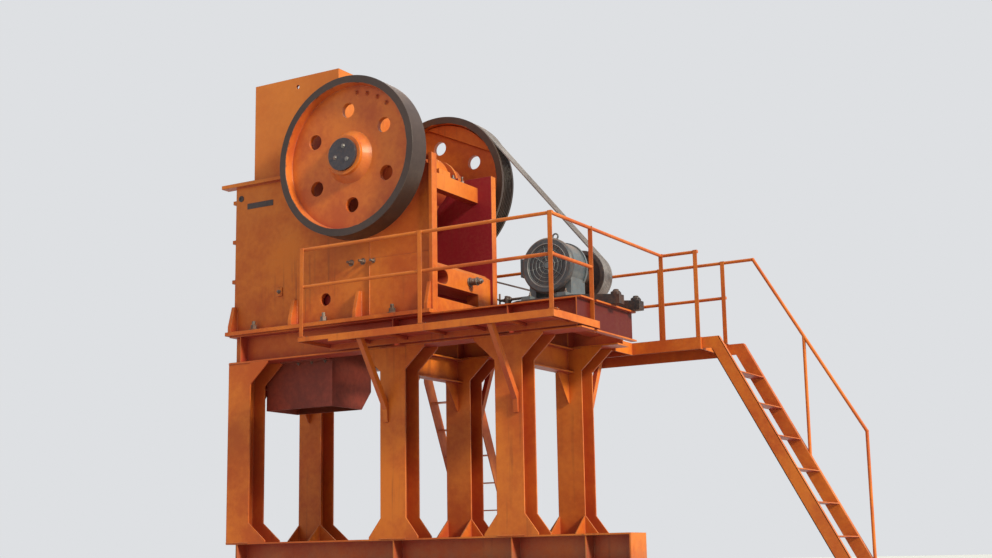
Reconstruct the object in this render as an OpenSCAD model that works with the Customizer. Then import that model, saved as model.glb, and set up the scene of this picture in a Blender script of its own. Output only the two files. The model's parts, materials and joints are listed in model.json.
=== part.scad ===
// Single-toggle jaw crusher on its own steel stand, with service platforms, a
// walkway, a stair, a ladder, a drive motor and a discharge chute.
// Millimetres, +Z up. The origin is the centre of the plan, on the ground.
// Inside the modules x is measured along the stand from a mark just behind the
// flywheel shaft, y from the middle plane of the crusher and z from the ground.
// plan() moves them to the origin.

/* [Stand] */
// Depth of the beams that lie on the ground
base_beam_h = 300; // [240:10:360]
// Width of the base beams
base_w = 320; // [280:5:340]
// Width of the main beams
beam_w = 250; // [220:5:280]
// Height of the top of the main beams above the ground
main_top = 2470; // [2300:10:2700]
// Depth of the main beams
main_beam_h = 300; // [260:10:340]
// Distance from the middle of the crusher to the outer face of the near columns
stand_half_w = 660; // [640:5:700]
// How much further out the far row of columns stands
far_shift = 130; // [100:5:150]
// Flange thickness of the rolled beams
flange_t = 16; // [12:1:20]
// Web thickness of the rolled beams
web_t = 12; // [8:1:16]
// Width of the columns
col_w = 295; // [280:5:310]
// Depth of the columns across the stand
col_d = 250; // [220:5:280]
// Place of the front columns along the stand
front_col_x = -1702; // [-1730:2:-1680]
// Place of the middle columns
mid_col_x = 262; // [200:2:320]
// Place of the columns under the motor
motor_col_x = 1586; // [1500:2:1660]
// Rear end of the near main beam
main_rear = 2322; // [2300:2:2340]
// Rear ends of the far main beam and the far base beam
far_main_rear = 2150; // [2100:10:2200]
// Rear end of the near base beam
base_rear = 2790; // [2700:10:2850]
// Length of the gussets at the feet of the columns
foot_gusset = 140; // [100:5:180]
// Length of the gusset at the foot of the front columns
front_foot = 220; // [180:5:240]
// Height and length of the knee gussets at the tops of the columns
knee_gusset = 230; // [200:5:250]
// Length of the gussets under the portal ties
tie_gusset = 225; // [180:5:250]
// Thickness of gussets and stiffener plates
gusset_t = 14; // [10:1:20]
// Depth of the ties between a near and a far column
tie_h = 250; // [200:5:280]

/* [Crusher frame] */
// Clear width between the two side plates
jaw_w = 1060; // [1020:5:1080]
// Thickness of a side plate
side_t = 55; // [45:1:65]
// Front edge of the side plates, ahead of the shaft
body_front = 1850; // [1780:5:1950]
// Rear edge of the side plates, behind the shaft
body_rear = 720; // [680:5:780]
// Height of the shaft above the top of the side plates
shaft_rise = 11; // [0:1:30]
// Place of the shaft along the stand
shaft_x = -95; // [-140:5:-50]
// Height of the side plates above the crusher's base
body_h = 1640; // [1600:5:1680]
// Thickness of the base flange
base_flange_t = 40; // [30:1:50]
// How far the base flange stands out of the side plate
base_flange_out = 115; // [95:5:130]
// Thickness of the top flange
top_flange_t = 40; // [30:1:50]
// How far the top flange stands out of the side plate
top_flange_out = 60; // [40:5:80]
// How far the top flange runs ahead of the side plates
top_flange_front = 160; // [120:5:190]
// Thickness of the foot ribs
rib_t = 40; // [30:1:50]
// Height of the foot ribs
rib_h = 280; // [220:5:320]
// Radius of the inspection hole in a side plate
port_r = 65; // [50:1:80]
// Height of the feed guard above the top flange
guard_h = 1075; // [950:5:1150]
// Thickness of the feed guard plates
guard_t = 30; // [20:1:40]

/* [Jaws] */
// Gap between the jaws at the top of the chamber
gape = 750; // [720:5:780]
// Gap between the jaws at the discharge
setting = 110; // [90:5:130]
// Thickness of a jaw plate from its back to the tips of its teeth
jaw_plate_t = 110; // [95:1:120]
// Depth of the teeth on the jaw plates
tooth_h = 36; // [28:1:44]
// Distance between two teeth
tooth_pitch = 83; // [70:1:96]
// Thickness of the cheek plates
cheek_t = 24; // [18:1:30]
// Side clearance between the swing jaw and the cheek plates
jaw_side_gap = 6; // [5:1:10]
// Radius of the head of the swing jaw
head_r = 310; // [300:5:325]
// Thickness of the toggle plate
toggle_t = 60; // [50:1:70]
// Width of the toggle plate
toggle_w = 800; // [700:10:900]
// Radius of the tension rod
rod_r = 24; // [18:1:30]

/* [Shaft and flywheels] */
// Outer radius of both flywheels
wheel_r = 832; // [800:1:850]
// Width of a flywheel
wheel_w = 240; // [225:5:260]
// Thickness of the flywheel rim
rim_t = 76; // [66:1:84]
// Thickness of the flywheel disc
disc_t = 50; // [40:1:56]
// How far the disc lies behind the face of the rim
disc_recess = 98; // [88:1:104]
// Radius of the flywheel hub at its end
hub_r = 205; // [190:1:215]
// Radius of the foot of the hub on the disc
hub_foot_r = 276; // [250:1:300]
// How far the hub stands out of the rim
hub_out = 15; // [8:1:20]
// Radius of a lightening hole
light_hole_r = 78; // [60:1:84]
// Radius of the circle of lightening holes
light_ring_r = 500; // [480:1:520]
// Number of lightening holes
light_holes = 6; // [5:1:6]
// Angle of the first lightening hole above the line to the rear
light_hole_angle = 93; // [60:1:120]
// Angle of the balance weight above the line to the rear
weight_angle = 65.5; // [40:0.5:90]
// Depth of the balance weight, from its straight edge to its round one
weight_depth = 152; // [120:1:180]
// Thickness of the balance weight
weight_t = 45; // [30:1:60]
// Radius of the shaft in its bearings
shaft_r = 130; // [115:1:140]
// Radius of the eccentric part of the shaft
ecc_r = 158; // [150:1:164]
// Throw of the eccentric
ecc_throw = 16; // [10:1:20]
// Gap between a side plate and the flywheel beside it
wheel_gap = 156; // [145:1:175]
// Radius of the bearing housings
housing_r = 250; // [235:1:270]
// Radius of the shaft end covers
cover_r = 168; // [155:1:180]
// Thickness of the shaft end covers
cover_t = 32; // [24:1:40]

/* [Drive] */
// Place of the motor shaft along the stand
motor_x = 1640; // [1600:5:1680]
// Radius of the motor housing
motor_r = 282; // [270:1:290]
// Depth of the fan cover on the motor
fan_cover_l = 60; // [40:5:70]
// Length of the round part of the motor housing
motor_l = 350; // [330:5:400]
// Near end of the motor
motor_near_y = 40; // [20:5:60]
// Height of the motor shaft above its feet
motor_shaft_h = 340; // [320:1:350]
// Height of the slide rails
rail_h = 140; // [120:5:150]
// Height of the slide rails at their ends
rail_end_h = 90; // [70:5:110]
// Distance between the slide rails
rail_gap = 440; // [420:5:460]
// Outer radius of the motor pulley
pulley_r = 272; // [260:1:284]
// Width of the motor pulley
pulley_w = 190; // [180:5:200]
// Radius of the motor shaft
motor_shaft_r = 45; // [40:1:50]
// Number of belts
belt_count = 6; // [4:1:6]
// Distance between two belts
belt_pitch = 30; // [29:0.5:31]
// Width of a belt
belt_w = 17; // [15:0.5:18]
// Thickness of a belt
belt_t = 16; // [14:1:18]
// Side clearance of a belt in its groove
belt_side_gap = 4; // [3:0.5:5]

/* [Platforms] */
// How far the platform floors lie below the top of the main beams
floor_drop = 200; // [180:5:220]
// Width of the platforms beside the stand
platform_w = 530; // [480:5:600]
// Thickness of the floor plates
floor_t = 10; // [8:1:12]
// Depth of the channels round the far platform and the walkway
channel_h = 125; // [110:5:140]
// Depth of the edge round the near platform
edge_h = 70; // [60:5:90]
// Front end of the near platform
near_front_x = -505; // [-540:5:-460]
// Front end of the far platform
far_front_x = -760; // [-800:5:-700]
// Rear end of the far platform
far_rear_x = 2000; // [1900:10:2050]
// Width of the walkway beside the far platform
walk_w = 770; // [760:5:800]
// Front end of the walkway
walk_front_x = 1250; // [1150:10:1350]
// How far the walkway runs past the stand
walk_past = 440; // [400:5:470]
// Height of the handrails above the floor
rail_top = 900; // [850:10:950]
// Height of the middle rails, as a share of the height of the handrails
mid_rail = 0.58; // [0.5:0.01:0.62]
// Height of the slanting braces under the platforms
brace_h = 770; // [700:10:850]
// Radius of the rail tubes
tube_r = 17; // [14:1:20]
// Width of the angle iron posts
post_w = 45; // [38:1:50]
// Thickness of the angle iron
post_t = 6; // [5:1:8]

/* [Stair and ladder] */
// Slope of the stair, from the ground
stair_angle = 61.3; // [58:0.1:64]
// Clear width between the stringers
stair_w = 660; // [620:5:700]
// How far the handrail runs level past the walkway
handrail_lead = 318; // [250:2:400]
// Height of the bend at the foot of the handrail
handrail_bend = 1280; // [1150:10:1400]
// Depth of the stringer channels
stringer_d = 130; // [120:5:150]
// Thickness of the stringers
stringer_t = 10; // [8:1:12]
// Height between two treads
tread_rise = 329; // [300:1:330]
// Height of the first step down from the walkway
first_step = 370; // [340:5:380]
// Thickness of a tread
tread_t = 12; // [8:1:16]
// Slope of the far ladder, from the ground
ladder_angle = 66; // [64:0.5:70]
// Width of the far ladder over its stringers
ladder_w = 600; // [550:5:640]

/* [Chute] */
// Length of the discharge chute along the stand
chute_l = 870; // [780:5:900]
// Width of the chute
chute_w = 690; // [640:5:730]
// How far the chute hangs below the main beams
chute_drop = 490; // [400:10:520]
// Width and height of the slope at the foot of its far wall
chute_slope = 170; // [120:5:200]
// Thickness of the chute plates
chute_t = 12; // [8:1:16]

/* [Hidden] */
$fn = 48;
eps = 0.3;

base_z = main_top;
shaft_z = base_z + body_h + shaft_rise;
plate_z0 = base_z + base_flange_t;
flange_z0 = base_z + body_h;
flange_z1 = flange_z0 + top_flange_t;
inner_y = jaw_w / 2;
outer_y = inner_y + side_t;
main_z0 = main_top - main_beam_h;
inner_half_w = stand_half_w - beam_w;
main_x0 = front_col_x - col_w / 2;
platform_x1 = main_rear + 12 + post_w;
platform_y = stand_half_w + platform_w;
floor_z = main_top - floor_drop;
walk_x1 = main_rear + walk_past;
walk_y1 = platform_y + walk_w;
wheel_y0 = outer_y + wheel_gap;
wheel_y1 = wheel_y0 + wheel_w;

stair_run = floor_z / tan(stair_angle);
stringer_run = stringer_d / sin(stair_angle);
stair_y1 = walk_y1 - post_w;
stair_y0 = stair_y1 - stair_w - 2 * stringer_t;
stair_x0 = walk_x1 + 30;
handrail_foot_x = stair_x0 + stair_run + stringer_run;
ladder_x0 = far_front_x + 160;
ladder_run = (floor_z - channel_h) / tan(ladder_angle);
ladder_depth_run = stringer_d / sin(ladder_angle);
body_l = body_front + body_rear;
plan_x0 = -body_front - top_flange_front;
plan_x1 = handrail_foot_x + tube_r + 2;
plan_y0 = -platform_y;
plan_y1 = platform_y + ladder_run + ladder_depth_run;
mid_x = (plan_x0 + plan_x1) / 2;
mid_y = (plan_y0 + plan_y1) / 2;

nip = atan((gape - setting) / (body_h - 120));
front_face_x = 284;
swing_half_w = inner_y - cheek_t - jaw_side_gap;
fixed_face_x = shaft_x - (front_face_x + jaw_plate_t) / cos(nip) - gape;
fixed_back_x = fixed_face_x - jaw_plate_t;

jaw_bottom = -(body_h + shaft_rise - 40) / cos(nip);
seat_z = jaw_bottom + 254;
toggle_front = [shaft_x + 124 * cos(nip) + seat_z * sin(nip), shaft_z - 124 * sin(nip) + seat_z * cos(nip)];
toggle_rear = [body_rear - 325, base_z + 445];
toggle_dx = toggle_rear[0] - toggle_front[0];
toggle_dz = toggle_rear[1] - toggle_front[1];
toggle_l = sqrt(toggle_dx * toggle_dx + toggle_dz * toggle_dz);
toggle_tilt = atan(toggle_dz / toggle_dx);

groove_w = belt_w + 2 * belt_side_gap;
groove_d = belt_t - 2;
motor_z = main_top + rail_h + motor_shaft_h;
belt_wheel_r = wheel_r - groove_d + eps;
belt_pulley_r = pulley_r - groove_d + eps;
drive_y = wheel_y0 + wheel_w / 2;
motor_dx = motor_x - shaft_x;

orange = [0.83, 0.38, 0.13];
black = [0.10, 0.10, 0.11];
steel = [0.45, 0.46, 0.48];
motor_paint = [0.33, 0.39, 0.43];

// Moves what is drawn from the crusher's own lines to the origin
module plan() {
    translate([-mid_x, -mid_y, 0]) children();
}

// Box between two corners
module block(a, b) {
    translate(a) cube(b - a);
}

// Plate drawn in x and z, from y0 to y0 + t
module plate_xz(y0, t) {
    translate([0, y0 + t, 0]) rotate([90, 0, 0]) linear_extrude(t) children();
}

// Plate drawn in y and z, from x0 to x0 + t
module plate_yz(x0, t) {
    translate([x0, 0, 0]) rotate([90, 0, 90]) linear_extrude(t) children();
}

// Round bar along y
module bar_y(x, z, y0, y1, r) {
    translate([x, y1, z]) rotate([90, 0, 0]) cylinder(h = y1 - y0, r = r);
}

// Round bar along x
module bar_x(y, z, x0, x1, r) {
    translate([x0, y, z]) rotate([0, 90, 0]) cylinder(h = x1 - x0, r = r);
}

// Round bar between two points
module bar(a, b, r) {
    d = b - a;
    l = norm(d);
    translate(a) rotate([0, acos(d[2] / l), atan2(d[1], d[0])]) cylinder(h = l, r = r);
}

// I-section, standing, centred on the line y = 0 of its own drawing
module i_section(w, h) {
    translate([-w / 2, 0]) square([w, flange_t]);
    translate([-w / 2, h - flange_t]) square([w, flange_t]);
    translate([-web_t / 2, 0]) square([web_t, h]);
}

// Rolled beam along x
module beam_x(x0, x1, y, z, w, h) {
    translate([x0, y, z]) rotate([90, 0, 90]) linear_extrude(x1 - x0) i_section(w, h);
}

// Rolled beam along y
module beam_y(x, y0, y1, z, w, h) {
    translate([x, y1, z]) rotate([90, 0, 0]) linear_extrude(y1 - y0) i_section(w, h);
}

// Both sides of the machine
module both_sides() {
    children();
    mirror([0, 1, 0]) children();
}

// Far row of the stand, for what is drawn for its near row
module far_row() {
    translate([0, far_shift, 0]) mirror([0, 1, 0]) children();
}

// Side frame of the crusher, drawn for the near side
module side_frame() {
    rib_x = [
        -body_front + rib_t / 2, -body_front + 0.324 * body_l,
        body_rear - 0.354 * body_l, body_rear - rib_t
    ];
    difference() {
        union() {
            plate_xz(-outer_y, side_t) polygon([
                [-body_front, plate_z0 - 1], [body_rear, plate_z0 - 1],
                [body_rear, flange_z0 + 1], [-body_front, flange_z0 + 1]
            ]);
            block([-body_front - 30, -outer_y - base_flange_out, base_z],
                  [body_rear + 10, -inner_y, plate_z0]);
            block([-body_front - top_flange_front, -outer_y - top_flange_out, flange_z0],
                  [shaft_x + housing_r + 150, -inner_y, flange_z1]);
            block([body_rear - 40, -outer_y - 36, plate_z0 - 1], [body_rear, -outer_y + 1, flange_z0 + 1]);
            block([-60, -outer_y - 12, plate_z0 - 1],
                  [body_rear - 39, -outer_y + 1, plate_z0 + 0.366 * body_h]);
        }
        bar_y(shaft_x, shaft_z, -outer_y - 200, -inner_y + 1, housing_r + eps);
        bar_y(-body_front + 0.476 * body_l, plate_z0 + 243, -outer_y - 1, -inner_y + 1, port_r);
    }
    for (x = rib_x) plate_yz(x - rib_t / 2, rib_t) polygon([
        [-outer_y + 1, plate_z0 - 1], [-outer_y - base_flange_out + 10, plate_z0 - 1],
        [-outer_y - base_flange_out + 10, plate_z0 + 60], [-outer_y - 45, plate_z0 + rib_h],
        [-outer_y + 1, plate_z0 + rib_h]
    ]);
}

module side_plate_near() {
    color(orange) plan() side_frame();
}

module side_plate_far() {
    color(orange) plan() mirror([0, 1, 0]) side_frame();
}

// Ribbed wall that carries the fixed jaw
module front_wall() {
    color(orange) plan() {
        block([fixed_back_x - 70, -inner_y, plate_z0], [fixed_back_x, inner_y, flange_z0]);
        for (k = [0 : 3]) {
            z = plate_z0 + 120 + k * (flange_z0 - plate_z0 - 240 - 40) / 3;
            block([-body_front - 90, -inner_y, z], [fixed_back_x - 60, inner_y, z + 40]);
        }
        for (y = [-340, 0, 340])
            block([-body_front - 70, y - 20, plate_z0 + 40], [fixed_back_x - 60, y + 20, flange_z0 - 40]);
    }
}

// Beam that ties the side plates together behind the shaft
module rear_top_beam() {
    color(orange) plan() {
        block([body_rear - 270, -inner_y, flange_z0 - 275], [body_rear - 170, inner_y, flange_z0 - 110]);
        block([body_rear - 250, -190, flange_z0 - 120], [body_rear - 190, 20, flange_z0 - 45]);
    }
}

// Space that the toggle plate needs between its two seats
module toggle_space(h) {
    translate([toggle_front[0], 0, toggle_front[1]]) rotate([0, -toggle_tilt, 0])
        translate([0, -inner_y - 5, -h]) cube([toggle_l, 2 * inner_y + 10, 2 * h]);
}

// Cast beam with the rear toggle seat, on a lower cross plate
module rear_toggle_beam() {
    z0 = base_z + 320;
    z1 = base_z + 580;
    x1 = body_rear - 30;
    color(orange) plan() {
        difference() {
            union() {
                plate_xz(-inner_y, 2 * inner_y) polygon([
                    [x1 - 300, z0], [x1, z0], [x1, z1 - 70], [x1 - 70, z1 - 20],
                    [x1 - 150, z1], [x1 - 300, z1]
                ]);
                block([x1 - 140, 285, plate_z0], [x1, inner_y, z0 + 1]);
            }
            toggle_space(110);
            for (y = [-452, -362]) bar_x(y, base_z + 406, x1 - 400, body_rear, 72);
            block([x1 - 400, -452, base_z + 334], [body_rear, -362, base_z + 478]);
            bar_x(120, base_z + 425, x1 - 400, body_rear, rod_r + eps);
        }
        block([x1 - 130, -inner_y, plate_z0], [x1 - 10, 285, base_z + 190]);
    }
}

// Plates that guide the feed into the crusher
module feed_guard() {
    x0 = -body_front + 250;
    x1 = -470;
    color(orange) plan() {
        both_sides() difference() {
            block([x0, -outer_y, flange_z1], [x1, -outer_y + guard_t, flange_z1 + guard_h]);
            bar_y(x0 + 584, flange_z1 + guard_h - 107, -outer_y - 1, -outer_y + guard_t + 1, 22);
        }
        block([x1 - guard_t, -outer_y + guard_t, flange_z1 + 330],
              [x1, outer_y - guard_t, flange_z1 + guard_h]);
    }
}

// Outline of a toothed jaw plate, with its back on x = 0 and its teeth at +x
module tooth_profile(half_w) {
    n = floor(2 * half_w / tooth_pitch);
    base_t = jaw_plate_t - tooth_h;
    difference() {
        translate([0, -half_w]) square([jaw_plate_t, 2 * half_w]);
        for (k = [0 : n]) translate([base_t, (k - n / 2) * tooth_pitch]) polygon([
            [0, -8], [0, 8], [tooth_h + 1, tooth_pitch / 2 - 9],
            [tooth_h + 1, -tooth_pitch / 2 + 9]
        ]);
    }
}

module fixed_jaw_plate() {
    color(steel) plan() translate([fixed_back_x, 0, plate_z0 + 40])
        linear_extrude(flange_z0 - plate_z0 - 60) tooth_profile(swing_half_w);
}

// Local frame of the swing jaw: its front face stands on x = -front_face_x
module swing_frame() {
    translate([shaft_x, 0, shaft_z]) rotate([0, nip, 0]) children();
}

module swing_jaw_plate() {
    l = body_h + 60;
    color(steel) plan() swing_frame()
        translate([-front_face_x, 0, -l - 60]) mirror([1, 0, 0]) linear_extrude(l)
            tooth_profile(swing_half_w);
}

module swing_jaw() {
    w = swing_half_w;
    color(orange) plan() difference() {
        swing_frame() union() {
            intersection() {
                bar_y(0, 0, -w, w, head_r);
                block([-front_face_x, -w, -head_r], [head_r * 2, w, head_r]);
            }
            plate_xz(-w, 2 * w) polygon([
                [-front_face_x, 140], [-100, 140], [head_r - 40, -90], [120, jaw_bottom + 598],
                [220, jaw_bottom + 498], [220, jaw_bottom + 248], [60, jaw_bottom],
                [-front_face_x, jaw_bottom]
            ]);
        }
        bar_y(shaft_x, shaft_z, -w - 1, w + 1, ecc_r + ecc_throw + 8);
        toggle_space(110);
    }
}

module toggle_plate() {
    color(orange) plan() translate([toggle_front[0], 0, toggle_front[1]])
        rotate([0, -toggle_tilt, 0]) translate([0, -toggle_w / 2, -toggle_t / 2])
            cube([toggle_l, toggle_w, toggle_t]);
}

// Rod and spring that pull the swing jaw back on the toggle
module tension_rod() {
    z = base_z + 425;
    x1 = body_rear - 30;
    color(steel) plan() {
        bar_x(120, z, x1 - 280, x1 + 190, rod_r);
        bar_x(120, z, x1, x1 + 20, rod_r * 2.4);
        for (k = [0 : 4]) bar_x(120, z, x1 + 28 + k * 20, x1 + 38 + k * 20, rod_r * 1.9);
        bar_x(120, z, x1 + 126, x1 + 140, rod_r * 2.2);
        bar_x(120, z, x1 + 140, x1 + 165, rod_r * 1.6);
    }
}

module cheek_plates() {
    color(steel) plan() both_sides() plate_xz(-inner_y, cheek_t) polygon([
        [fixed_face_x, plate_z0 + 60], [fixed_face_x, flange_z0 - 20],
        [shaft_x - 300, flange_z0 - 20],
        [shaft_x - 300 - 0.9 * (flange_z0 - plate_z0 - 80) * tan(nip), plate_z0 + 60]
    ]);
}

module bearing_housings() {
    color(orange) plan() both_sides() difference() {
        union() {
            bar_y(shaft_x, shaft_z, -outer_y - 110, -inner_y, housing_r);
            bar_y(shaft_x, shaft_z, -outer_y - top_flange_out - 40, -outer_y - top_flange_out,
                  housing_r + 60);
            bar_y(shaft_x, shaft_z, -outer_y - 130, -outer_y - 110, housing_r - 50);
        }
        bar_y(shaft_x, shaft_z, -outer_y - 200, -inner_y + 10, shaft_r + 0.05);
    }
}

module eccentric_shaft() {
    y0 = -wheel_y1 - hub_out;
    color(steel) plan() {
        bar_y(shaft_x, shaft_z, y0, -swing_half_w - 1, shaft_r);
        bar_y(shaft_x, shaft_z, swing_half_w + 1, -y0, shaft_r);
        bar_y(shaft_x, shaft_z + ecc_throw, -swing_half_w - 1, swing_half_w + 1, ecc_r);
    }
}

// Half section of a flywheel: x is the radius, y runs from the outer face inwards
module wheel_section() {
    back = disc_recess + disc_t;
    polygon([
        [shaft_r + 0.05, -hub_out], [hub_r, -hub_out], [hub_r + 6, 20], [hub_foot_r, disc_recess],
        [wheel_r - rim_t - 12, disc_recess], [wheel_r - rim_t, 0], [wheel_r, 0],
        [wheel_r, wheel_w], [wheel_r - rim_t, wheel_w], [wheel_r - rim_t - 12, back],
        [hub_foot_r, back], [hub_r, wheel_w - 20], [hub_r, wheel_w + 5], [shaft_r + 0.05, wheel_w + 5]
    ]);
}

// Flywheel with its outer face on y = -wheel_y1
module flywheel() {
    translate([shaft_x, -wheel_y1, shaft_z]) rotate([-90, 0, 0]) difference() {
        rotate_extrude($fn = 120) wheel_section();
        for (k = [0 : light_holes - 1]) rotate([0, 0, -light_hole_angle + k * 360 / light_holes])
            translate([light_ring_r, 0, 0]) cylinder(h = wheel_w, r = light_hole_r);
    }
}

module flywheel_near() {
    color(black) plan() flywheel();
}

// Points on an arc of radius r round (cx, cz), from angle a0 to angle a1
function arc(cx, cz, r, a0, a1, n) = [
    for (i = [0 : n]) let (a = a0 + (a1 - a0) * i / n) [cx + r * cos(a), cz + r * sin(a)]
];

// Segment bolted to the inner side of the disc of each flywheel
module balance_weights() {
    r1 = wheel_r - rim_t - 14;
    half = acos((r1 - weight_depth) / r1);
    color(orange) plan() both_sides() plate_xz(-wheel_y1 + disc_recess + disc_t, weight_t)
        polygon(arc(shaft_x, shaft_z, r1, weight_angle - half, weight_angle + half, 24));
}

// Grooves of a belt pulley, round the z axis, for an outer radius r
module grooves(r, mid) {
    for (k = [0 : belt_count - 1])
        translate([0, 0, mid + (k - (belt_count - 1) / 2) * belt_pitch - groove_w / 2])
            difference() {
                cylinder(h = groove_w, r = r + 5, $fn = 96);
                translate([0, 0, -1]) cylinder(h = groove_w + 2, r = r - groove_d, $fn = 96);
            }
}

module flywheel_far() {
    color(black) plan() mirror([0, 1, 0]) difference() {
        flywheel();
        translate([shaft_x, -wheel_y1, shaft_z]) rotate([-90, 0, 0]) grooves(wheel_r, wheel_w / 2);
    }
}

module shaft_end_covers() {
    color(steel) plan() both_sides()
        bar_y(shaft_x, shaft_z, -wheel_y1 - hub_out - cover_t, -wheel_y1 - hub_out, cover_r);
}

// Loop of one belt seen along the shafts, round the radii r1 and r2
module belt_loop(r1, r2) {
    dz = motor_z - shaft_z;
    l = sqrt(motor_dx * motor_dx + dz * dz);
    a = atan2(dz, motor_dx);
    b = acos((r1 - r2) / l);
    polygon(concat(
        arc(0, 0, r1, a + b, a - b + 360, 44),
        arc(motor_dx, dz, r2, a - b, a + b, 20)
    ));
}

module drive_belts() {
    flat_side = 1 / cos(3);
    color(black) plan() for (k = [0 : belt_count - 1])
        translate([shaft_x, 0, shaft_z])
            plate_xz(drive_y + (k - (belt_count - 1) / 2) * belt_pitch - belt_w / 2, belt_w)
                difference() {
                    belt_loop(belt_wheel_r + belt_t, belt_pulley_r + belt_t);
                    belt_loop(belt_wheel_r * flat_side, belt_pulley_r * flat_side);
                }
}

// Place of a slide rail across the stand
function drive_rail_y(k) = motor_near_y - 35 + k * rail_gap;

// Motor housing, drawn from its drive end backwards: x is the radius
module motor_body() {
    foot_z = main_top + rail_h;
    end_y = motor_near_y + motor_l;
    color(motor_paint) plan() difference() {
        union() {
            translate([motor_x, motor_near_y + fan_cover_l, motor_z]) rotate([-90, 0, 0])
                rotate_extrude($fn = 96) polygon([
                    [0, 0], [motor_r - 14, 0], [motor_r - 14, motor_l - 90], [motor_r, motor_l - 90],
                    [motor_r, motor_l - 60], [motor_r - 70, motor_l + 70], [110, motor_l + 100],
                    [110, motor_l + 130], [0, motor_l + 130]
                ]);
            for (x = [motor_x - 200, motor_x + 200]) {
                block([x - 50, drive_rail_y(0) - 45, foot_z], [x + 50, drive_rail_y(1) + 45, foot_z + 35]);
                block([x - 35, motor_near_y + fan_cover_l + 8, foot_z + 30],
                      [x + 35, end_y + 10, motor_z - 130]);
            }
        }
        bar_y(motor_x, motor_z, end_y + 80, end_y + 200, motor_shaft_r + 0.05);
    }
}

module motor_fan_cover() {
    color(motor_paint) plan() translate([motor_x, motor_near_y, motor_z]) rotate([-90, 0, 0])
        rotate_extrude($fn = 96) polygon([
            [0, 18], [motor_r - 70, 18], [motor_r - 56, 0], [motor_r - 16, 0],
            [motor_r, 16], [motor_r, fan_cover_l], [0, fan_cover_l]
        ]);
}

module motor_terminal_box() {
    color(motor_paint) plan() difference() {
        block([motor_x - motor_r - 70, motor_near_y + 120, motor_z - 60],
              [motor_x - 170, motor_near_y + 300, motor_z + 120]);
        bar_y(motor_x, motor_z, motor_near_y + 100, motor_near_y + motor_l, motor_r - 14);
    }
}

module motor_pulley() {
    y0 = drive_y - pulley_w / 2;
    color(black) plan() {
        translate([motor_x, y0, motor_z]) rotate([-90, 0, 0]) difference() {
            cylinder(h = pulley_w, r = pulley_r, $fn = 96);
            grooves(pulley_r, pulley_w / 2);
            translate([0, 0, -1]) cylinder(h = 41, r = pulley_r - 45, $fn = 96);
        }
        bar_y(motor_x, motor_z, y0 - 60, y0 + 50, motor_shaft_r * 2);
        bar_y(motor_x, motor_z, motor_near_y + motor_l + 80, y0, motor_shaft_r);
    }
}

module motor_rails() {
    z0 = main_top;
    z1 = z0 + rail_h;
    x1 = main_rear + 150;
    color(steel) plan() for (k = [0, 1])
        plate_xz(drive_rail_y(k) - 50, 100) polygon([
            [motor_x - 520, z0], [x1, z0], [x1, z0 + rail_end_h], [motor_x + 300, z1],
            [motor_x - 300, z1], [motor_x - 520, z0 + rail_end_h]
        ]);
}

// Base beam with web stiffeners and an end plate, drawn for the near row
module base_beam(x1) {
    y1 = -stand_half_w + base_w;
    beam_x(main_x0, x1, -stand_half_w + base_w / 2, 0, base_w, base_beam_h);
    block([x1 - 1, -stand_half_w, 0], [x1 + gusset_t, y1, base_beam_h]);
    for (x = [front_col_x, mid_col_x, motor_col_x, x1 - 437])
        block([x - gusset_t / 2, -stand_half_w + 6, flange_t - 1],
              [x + gusset_t / 2, y1 - 6, base_beam_h - flange_t + 1]);
}

module base_beams() {
    color(orange) plan() {
        base_beam(base_rear);
        far_row() base_beam(far_main_rear);
    }
}

module base_cross_beams() {
    y1 = stand_half_w - base_w;
    color(orange) plan() for (x = [front_col_x, mid_col_x, motor_col_x, far_main_rear - col_w / 2])
        beam_y(x, -y1, y1 + far_shift, 0, col_w, base_beam_h);
}

// H column with flared feet and knee gussets, drawn for the near row. front is 1
// where its front side has gussets too. Two more gussets stand on its inner side.
module column(x, front, foot) {
    y0 = -stand_half_w;
    y1 = y0 + col_d;
    z0 = base_beam_h;
    z1 = main_z0;
    xa = x - col_w / 2;
    xb = x + col_w / 2;
    fa = foot * front;
    ka = knee_gusset * front;
    foot_z = z0 + foot_gusset + 60;
    for (y = [y0, y1 - flange_t]) plate_xz(y, flange_t) polygon([
        [xa - fa, z0], [xb + foot, z0], [xb + foot, z0 + 20], [xb, foot_z],
        [xb, z1 - knee_gusset], [xb + knee_gusset, z1 - 20], [xb + knee_gusset, z1],
        [xa - ka, z1], [xa - ka, z1 - 20], [xa, z1 - knee_gusset], [xa, foot_z], [xa - fa, z0 + 20]
    ]);
    block([x - web_t / 2, y0 + flange_t - 1, z0], [x + web_t / 2, y1 - flange_t + 1, z1]);
    for (xp = [xa, xb - gusset_t]) plate_yz(xp, gusset_t) polygon([
        [y1 - 1, z0], [y1 + foot_gusset + 60, z0], [y1 + foot_gusset + 60, z0 + 20], [y1 - 1, foot_z]
    ]);
}

module column_row() {
    column(front_col_x, 0, front_foot);
    column(mid_col_x, 1, foot_gusset);
    column(motor_col_x, 1, foot_gusset);
}

module columns_near() {
    color(orange) plan() column_row();
}

module columns_far() {
    color(orange) plan() far_row() column_row();
}

// Main beam with web stiffeners over the columns, drawn for the near row
module main_beam(x1) {
    y = -stand_half_w + beam_w / 2;
    beam_x(main_x0, x1, y, main_z0, beam_w, main_beam_h);
    for (x = [front_col_x, mid_col_x, motor_col_x])
        block([x - gusset_t / 2, -stand_half_w + 6, main_z0 + flange_t - 1],
              [x + gusset_t / 2, -inner_half_w - 6, main_top - flange_t + 1]);
}

module main_beam_near() {
    color(orange) plan() main_beam(main_rear);
}

module main_beam_far() {
    color(orange) plan() far_row() main_beam(far_main_rear);
}

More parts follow.
